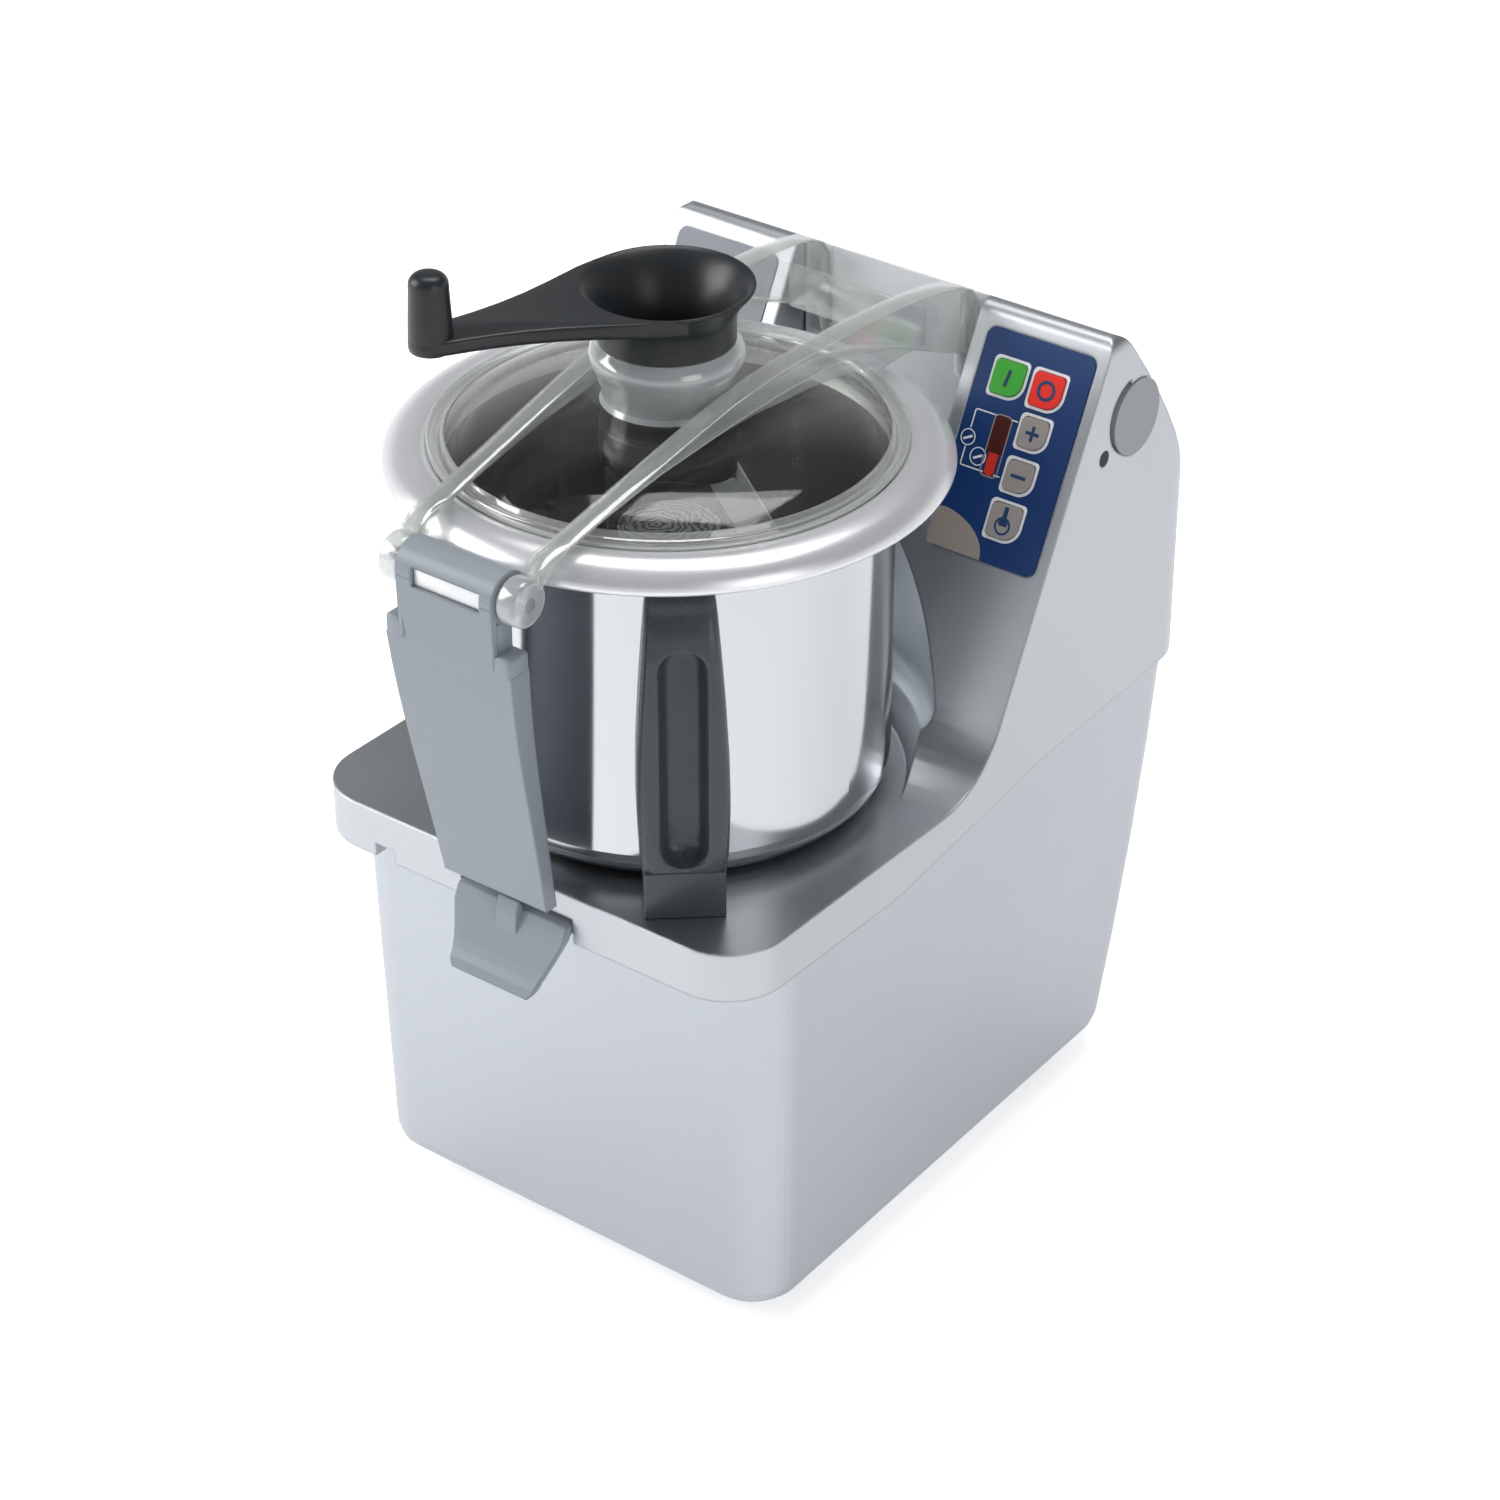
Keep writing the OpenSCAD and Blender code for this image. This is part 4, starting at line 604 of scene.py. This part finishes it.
grip_profile = ([(0.0, FUNNEL_TOP - 7.1), (8.3, FUNNEL_TOP - 7.1)]
                + rounded_arc(8.4, FUNNEL_TOP - 5.7, 1.4, -80, 0, 4)
                + [(9.8, FUNNEL_TOP), (9.6, FUNNEL_TOP + 6), (9.25, FUNNEL_TOP + 13),
                   (8.9, FUNNEL_TOP + 20)]
                + rounded_arc(3.6, FUNNEL_TOP + 23.7, 5.2, 8, 84, 7) + [(0.0, FUNNEL_TOP + 29)])
grip_place = CRANK_LONG * Vector((math.cos(CRANK_TURN), math.sin(CRANK_TURN), 0))
piece("crank_grip", on_axis(turned_from(grip_profile), grip_place), acetal, "crank",
      "black_plastic", "crank_knob", smooth=50)
# A second, thin scraper blade hangs from the collar: moulded polypropylene, pale and waxy. Its pale
# colour is partly its own and partly painted light for the dim inside of the bowl
vane = grained("grey polypropylene, painted light", "#DEE2E5", 0.0, 0.35, 0.05, 0.8, 0.05, soft_edge=0.0008)
# Painted light: the vane is coloured lighter to show inside the dim bowl
dress(vane, "deflector")

# --- Latch and release tongue -----------------------------------------------
# Blue-grey nylon mouldings with rounded flanges. Two shoulders and two flanks
# carry the barrel of the latch, and a bright steel strip lies behind its window.
# Each block: name, lower and upper corner, radius of its edges
LATCH_BLOCKS = (
    ("right_shoulder", (24.6, -38.9, 351), (35.3, -26.0, 361), 1.6),
    ("left_shoulder", (-35.3, -38.9, 351), (-24.6, -26.0, 361), 1.6),
    ("right_flank", (24.2, -39.2, 353), (26.9, -26.4, 375.4), 0.9),
    ("left_flank", (-26.9, -39.2, 353), (-24.2, -26.4, 375.4), 0.9))


def soft_block(low, high, soft):
    """A block between two corners in millimetres, with rounded edges."""
    shape = bmesh.new()
    size_m = [(b - a) / 1000 for a, b in zip(low, high)]
    middle = Vector([(a + b) / 2000 for a, b in zip(low, high)]) + Vector((0, LIP, FEET))
    bmesh.ops.create_cube(shape, size=1,
                          matrix=Matrix.Translation(middle) @ Matrix.Diagonal(size_m + [1]))
    return softened(shape, shape.edges[:], soft / 1000, segments=3)


# Moulded nylon: blue-grey, with soft light on its rounded edges
latch_nylon = grained("blue-grey nylon", "#8F979E", 0.0, 0.33, 0.05, 0.8, 0.06, soft_edge=0.002)
dress(latch_nylon, "latch_plate", "release_tongue")
for name, low, high, soft in LATCH_BLOCKS:
    piece(name, soft_block(low, high, soft), latch_nylon, "latch", "grey_plastic")
# Drawn strip: a light, even gleam
bright = grained("bright drawn stainless", "#E9EAEA", 0.5, 0.3, 0.04, 0.6, 0.0)
piece("window_strip", soft_block((-17.6, -38.4, 380.4), (19.6, -34, 388.6), 0.5), bright,
      "latch", "screw_steel")

# --- Steel fixings, shaft and cutter ----------------------------------------
# Turned and ground stainless steel. The blades are painted darker, as painted shade under the lid,
# and the hub has a cap that was polished in swirls.
HUB_TOP, CAP_TOP = 347.9, 349.9
# Turned steel: a plain, slightly soft metal gleam
turned = grained("turned stainless", "#C2C5C8", 1.0, 0.26, 0.05, 0.6, 0.04)
dress(turned, "hinge_pin", "foot_screws", "motor_screws", "handle_studs", "latch_pin",
      "tongue_pin", "tongue_spring", "drive_shaft", "cutter_hub")
# Ground steel: sharper in its reflections than the hub, and painted darker as painted shade under
# the lid
ground = grained("ground blade steel, painted shade", "#8D9194", 1.0, 0.22, 0.04, 0.6, 0.02)
# Painted shade: the blades' dark colour stands in for shade under the lid
dress(ground, "lower_blade", "upper_blade")
# Polished in swirls: dark and light rings, a few millimetres off the middle of the cap
swirl, tree, out = blank_material("swirl-polished steel")
at = add(tree, "ShaderNodeTexCoord")
centred = add(tree, "ShaderNodeMapping",
              {"Vector": at.outputs["Object"], "Location": (0.004, 0.0525, 0.0)})
wave = add(tree, "ShaderNodeTexWave",
           {"Vector": centred.outputs[0], "Scale": 95.0, "Distortion": 9.0, "Detail": 2.0,
            "Detail Scale": 1.4}, wave_type="RINGS", rings_direction="Z")
tone = add(tree, "ShaderNodeMix",
           {"Factor": wave.outputs["Fac"], 6: linear("#5D6265"), 7: linear("#D3D6D8")},
           data_type="RGBA")
metal = add(tree, "ShaderNodeBsdfPrincipled",
            {"Base Color": tone.outputs[2], "Metallic": 0.7, "Roughness": 0.34})
tree.links.new(metal.outputs[0], out.inputs["Surface"])
cap_profile = ([(0, HUB_TOP), (23.4, HUB_TOP)] + rounded_arc(23.2, 348.6, 0.5, -60, 90, 4)
               + [(20, 349.5), (12, 349.8), (0, CAP_TOP)])
piece("hub_cap", on_axis(turned_from(cap_profile, steps=64)), swirl, "cutter", "blade_steel")
# The hinge block, a satin casting between the towers: pale and even, without mirror images. Its
# pale colour is painted light that lifts it out of the shade between the towers
block = grained("satin cast aluminium, painted light", "#F0F2F4", 0.2, 0.42, 0.05, 1.2, 0.05, soft_edge=0.001)
# Painted light: the block's pale colour stands in for light in the shade between the towers
dress(block, "hinge_block")

# --- Rubber, plastic and electrical fittings ---------------------------------
# Feet, seal and gland are moulded black rubber or nylon; the caps are grey. The
# motor is painted iron with a copper armature. A green board lies behind the keys.
# Rubber is black and dull, the grey caps have a faint shine, and paint and board are semi-matt
rubber = grained("black rubber", "#1D1E20", 0.0, 0.62, 0.06, 0.8, 0.15)
dress(rubber, "feet", "shaft_seal", "cable_gland", "side_plugs", "cooling_fan", "key_switches",
      "interlock_switch")
cap_plastic = grained("grey cap plastic", "#989CA1", 0.0, 0.42, 0.05, 0.8, 0.08, soft_edge=0.0006)
dress(cap_plastic, "hinge_caps")
iron = grained("black painted iron", "#2A2C2E", 0.0, 0.5, 0.05, 1.0, 0.1)
dress(iron, "motor_housing")
copper = grained("enamelled copper", "#A4582F", 1.0, 0.4, 0.05, 1.0, 0.1)
dress(copper, "motor_armature")
board = grained("green circuit board", "#1F6B3C", 0.0, 0.4, 0.05, 1.0, 0.05)
dress(board, "control_board")

# --- Key panel --------------------------------------------------------------
# A printed polyester label is set flush in the face of the right tower, over
# five short-stroke keys and a light bar. The left tower has a plain one.
# Prints are in millimetres from the label's middle, x across and y up the slope.
SLOPE = math.radians(63.1)
# The label's middle: metres to the right, and millimetres up the slope from its foot
LABEL_X, LABEL_MID = 0.0915, 154
SLOPE_FOOT_Y, SLOPE_FOOT_Z = 184.7, 220
INK_LIFT, INK_THICK = 0.55, 0.1
KEY_LIFT, BAR_LIFT = 1.62, 0.62
LINE_WIDE = 0.6
KEYS = {"start_key": (-12.2, 31.5), "stop_key": (9.4, 31.5), "faster_key": (8.8, 10.7),
        "slower_key": (8.1, -10.3), "pulse_key": (7.4, -32.0)}
KEY_HALF, SMALL_KEY_HALF, KEY_BORDER = 9.9, 8.9, 1.35
BAR_LEFT, BAR_RIGHT, BAR_END = -10.6, -6.2, 12.2  # centres of the round corners of the light bar
GRAPH_LINES = {
    "graph_top": [(-0.8, 13.8), (-5.4, 13.8)],
    "graph_upper": [(-11.4, 13.8), (-23.6, 13.8), (-24.2, 13.2), (-24.2, 4.6)],
    "graph_lower": [(-24.2, -4.4), (-24.2, -12.6), (-23.6, -13.2), (-11.4, -13.2)],
    "graph_foot": [(-5.4, -13.2), (-2.0, -13.2)]}
DIALS = (("fast_dial", -24.2, 0.0, 4.0), ("slow_dial", -16.2, -7.2, 4.4))
FIELD_CORNER, FIELD_WIDE, FIELD_HIGH = (-29.9, -52.9), 30, 19

label_at = Vector((LABEL_X, LIP + (SLOPE_FOOT_Y + LABEL_MID * math.cos(SLOPE)) / 1000,
                   FEET + (SLOPE_FOOT_Z + LABEL_MID * math.sin(SLOPE)) / 1000))
on_face = Matrix.Translation(label_at) @ Matrix.Rotation(SLOPE, 4, "X")


def sheet_of_ink(outer, inner=None, lift=INK_LIFT, thick=INK_THICK):
    """A closed outline on the label, or the band between two, as a raised print."""
    shape = bmesh.new()
    loops = []
    for points in (outer, inner or []):
        dots = [shape.verts.new((x / 1000, y / 1000, lift / 1000)) for x, y in points]
        loops += [shape.edges.new((a, b)) for a, b in zip(dots, dots[1:] + dots[:1])]
    if inner:
        bmesh.ops.bridge_loops(shape, edges=loops)
    else:
        shape.faces.new(shape.verts[:])
    bmesh.ops.recalc_face_normals(shape, faces=shape.faces)
    for face in shape.faces:
        if face.normal.z < 0:
            face.normal_flip()
    extruded(shape, (0, 0, thick / 1000))
    bmesh.ops.transform(shape, matrix=on_face, verts=shape.verts)
    return shape


def key_outline(cx, cy, half, n=5):
    """The outline of a key: three tight corners and one wide one."""
    wide = half * 0.9
    return (rounded_arc(cx - half + 3, cy + half - 3, 3, 90, 180, n)
            + rounded_arc(cx - half + 2, cy - half + 2, 2, 180, 270, n)
            + rounded_arc(cx + half - wide, cy - half + wide, wide, 270, 360, 3 * n)
            + rounded_arc(cx + half - 2, cy + half - 2, 2, 0, 90, n))


def bar_line(r):
    """The outline of the light bar, with its corners at one radius."""
    corners = ((BAR_RIGHT, BAR_END, 0), (BAR_LEFT, BAR_END, 90), (BAR_LEFT, -BAR_END, 180),
               (BAR_RIGHT, -BAR_END, 270))
    return [dot for x, y, start in corners for dot in rounded_arc(x, y, r, start, start + 90, 4)]


def stroke(points, wide):
    """A printed line of one width along a few points."""
    left, right = [], []
    for i, (x, y) in enumerate(points):
        (ax, ay), (bx, by) = points[max(i - 1, 0)], points[min(i + 1, len(points) - 1)]
        long = math.hypot(bx - ax, by - ay)
        nx, ny = -(by - ay) / long * wide / 2, (bx - ax) / long * wide / 2
        left.append((x + nx, y + ny))
        right.append((x - nx, y - ny))
    return left + right[::-1]


def circle(cx, cy, r, n=28):
    """A ring of points in the label's plane."""
    turns = [math.tau * i / n for i in range(n)]
    return [(cx + r * math.cos(a), cy + r * math.sin(a)) for a in turns]


def moved(points, x, y):
    """Points that were given round a key's middle, on the label."""
    return [(x + a, y + b) for a, b in points]


def key_film(name, colour):
    """The soft printed film over a key."""
    return grained(name, colour, 0.0, 0.34, 0.04, 0.6, 0.04, soft_edge=0.0008)


# Printed polyester and key films are smooth and half gloss; the screen inks on them are duller
blue = grained("blue printed polyester", "#00326C", 0.0, 0.38, 0.04, 0.6, 0.02)
dress(blue, "control_label")
silver_film = grained("silver printed polyester", "#858B91", 0.0, 0.45, 0.04, 0.6, 0.04)
dress(silver_film, "tower_badge")
dress(key_film("green key film", "#3FAE33"), "start_key")
dress(key_film("red key film", "#EE2A1B"), "stop_key")
dress(key_film("taupe key film", "#9C9591"), "faster_key", "slower_key", "pulse_key")
lamp = grained("red light bar", "#D3301F", 0.0, 0.25, 0.03, 0.6, 0.0)
dress(lamp, "speed_bar")
unlit = grained("unlit light bar", "#4A1512", 0.0, 0.25, 0.03, 0.6, 0.0)
white_ink = grained("white screen ink", "#E9EBED", 0.0, 0.4, 0.04, 0.6, 0.0)
navy_ink = grained("dark blue screen ink", "#143A66", 0.0, 0.4, 0.04, 0.6, 0.0)
beige_ink = grained("beige screen ink", "#9A918A", 0.0, 0.4, 0.04, 0.6, 0.0)

for name, (x, y) in KEYS.items():
    half = SMALL_KEY_HALF if name in ("faster_key", "slower_key") else KEY_HALF
    border = sheet_of_ink(key_outline(x, y, half), key_outline(x, y, half - KEY_BORDER))
    piece(f"{name}_outline", border, white_ink, "housing", "label_blue", smooth=60)
# Signs on the keys, which move with them: name, key, outline, inner outline, extra height
plus = [(-3.6, -0.8), (-0.8, -0.8), (-0.8, -3.6), (0.8, -3.6), (0.8, -0.8), (3.6, -0.8),
        (3.6, 0.8), (0.8, 0.8), (0.8, 3.6), (-0.8, 3.6), (-0.8, 0.8), (-3.6, 0.8)]
finger = [(-1, 7), (1, 7), (1.2, 1.5), (2.6, -0.6), (2, -2.2), (-2, -2.2), (-2.6, -0.6),
          (-1.2, 1.5)]
for name, key, outer, inner, extra in (
        ("on_mark", "start_key", stroke([(0.6, 4), (-0.6, -4)], 1.7), None, 0),
        ("off_mark", "stop_key", circle(0, 0, 4.9), circle(0, 0, 3.3), 0),
        ("plus_mark", "faster_key", plus, None, 0),
        ("minus_mark", "slower_key", stroke([(-4, 0), (4, 0)], 1.6), None, 0),
        ("pulse_ring", "pulse_key", circle(0, -2.2, 4.3), circle(0, -2.2, 3.3), 0),
        ("pulse_finger", "pulse_key", finger, None, 0.02)):
    sign = sheet_of_ink(moved(outer, *KEYS[key]), moved(inner or [], *KEYS[key]),
                        lift=KEY_LIFT + extra)
    piece(name, sign, navy_ink, key, "label_blue")
# Speed graph beside the light bar: lines that lead to the plus and minus keys, and two dials
for name, points in GRAPH_LINES.items():
    piece(name, sheet_of_ink(stroke(points, LINE_WIDE)), white_ink, "housing", "label_blue")
for name, cx, cy, r in DIALS:
    piece(name, sheet_of_ink(circle(cx, cy, r), circle(cx, cy, r - 0.5)), white_ink,
          "housing", "label_blue")
    needle = stroke([(cx - 2.2, cy - 1.4), (cx + 2.2, cy + 1.0)], 1.1)
    piece(name + "_needle", sheet_of_ink(needle), white_ink, "housing", "label_blue")
# The light bar: the upper part is unlit, with a pale outline round the whole bar
piece("bar_outline", sheet_of_ink(bar_line(2.75), bar_line(2.2), lift=BAR_LIFT), beige_ink,
      "housing", "label_blue", smooth=60)
dark_part = (rounded_arc(BAR_RIGHT, BAR_END, 2.15, 0, 90, 4)
             + rounded_arc(BAR_LEFT, BAR_END, 2.15, 90, 180, 4) + [(-12.75, -3.4), (-4.05, -3.4)])
piece("bar_unlit", sheet_of_ink(dark_part, lift=BAR_LIFT), unlit, "housing", "bar_red", smooth=60)
# Beige field in the lower corner, left bare
left, low = FIELD_CORNER
field = [(left, low), (left, low + 17.9)] + [
    (left + FIELD_WIDE * math.sin(math.radians(a)), low + FIELD_HIGH * math.cos(math.radians(a)))
    for a in range(10, 91, 8)]
piece("bare_field", sheet_of_ink(field, lift=0.5, thick=0.08), beige_ink, "housing", "label_blue")

size = {"cad": cad_box, "visual": [list(map(float, corner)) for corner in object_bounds()]}
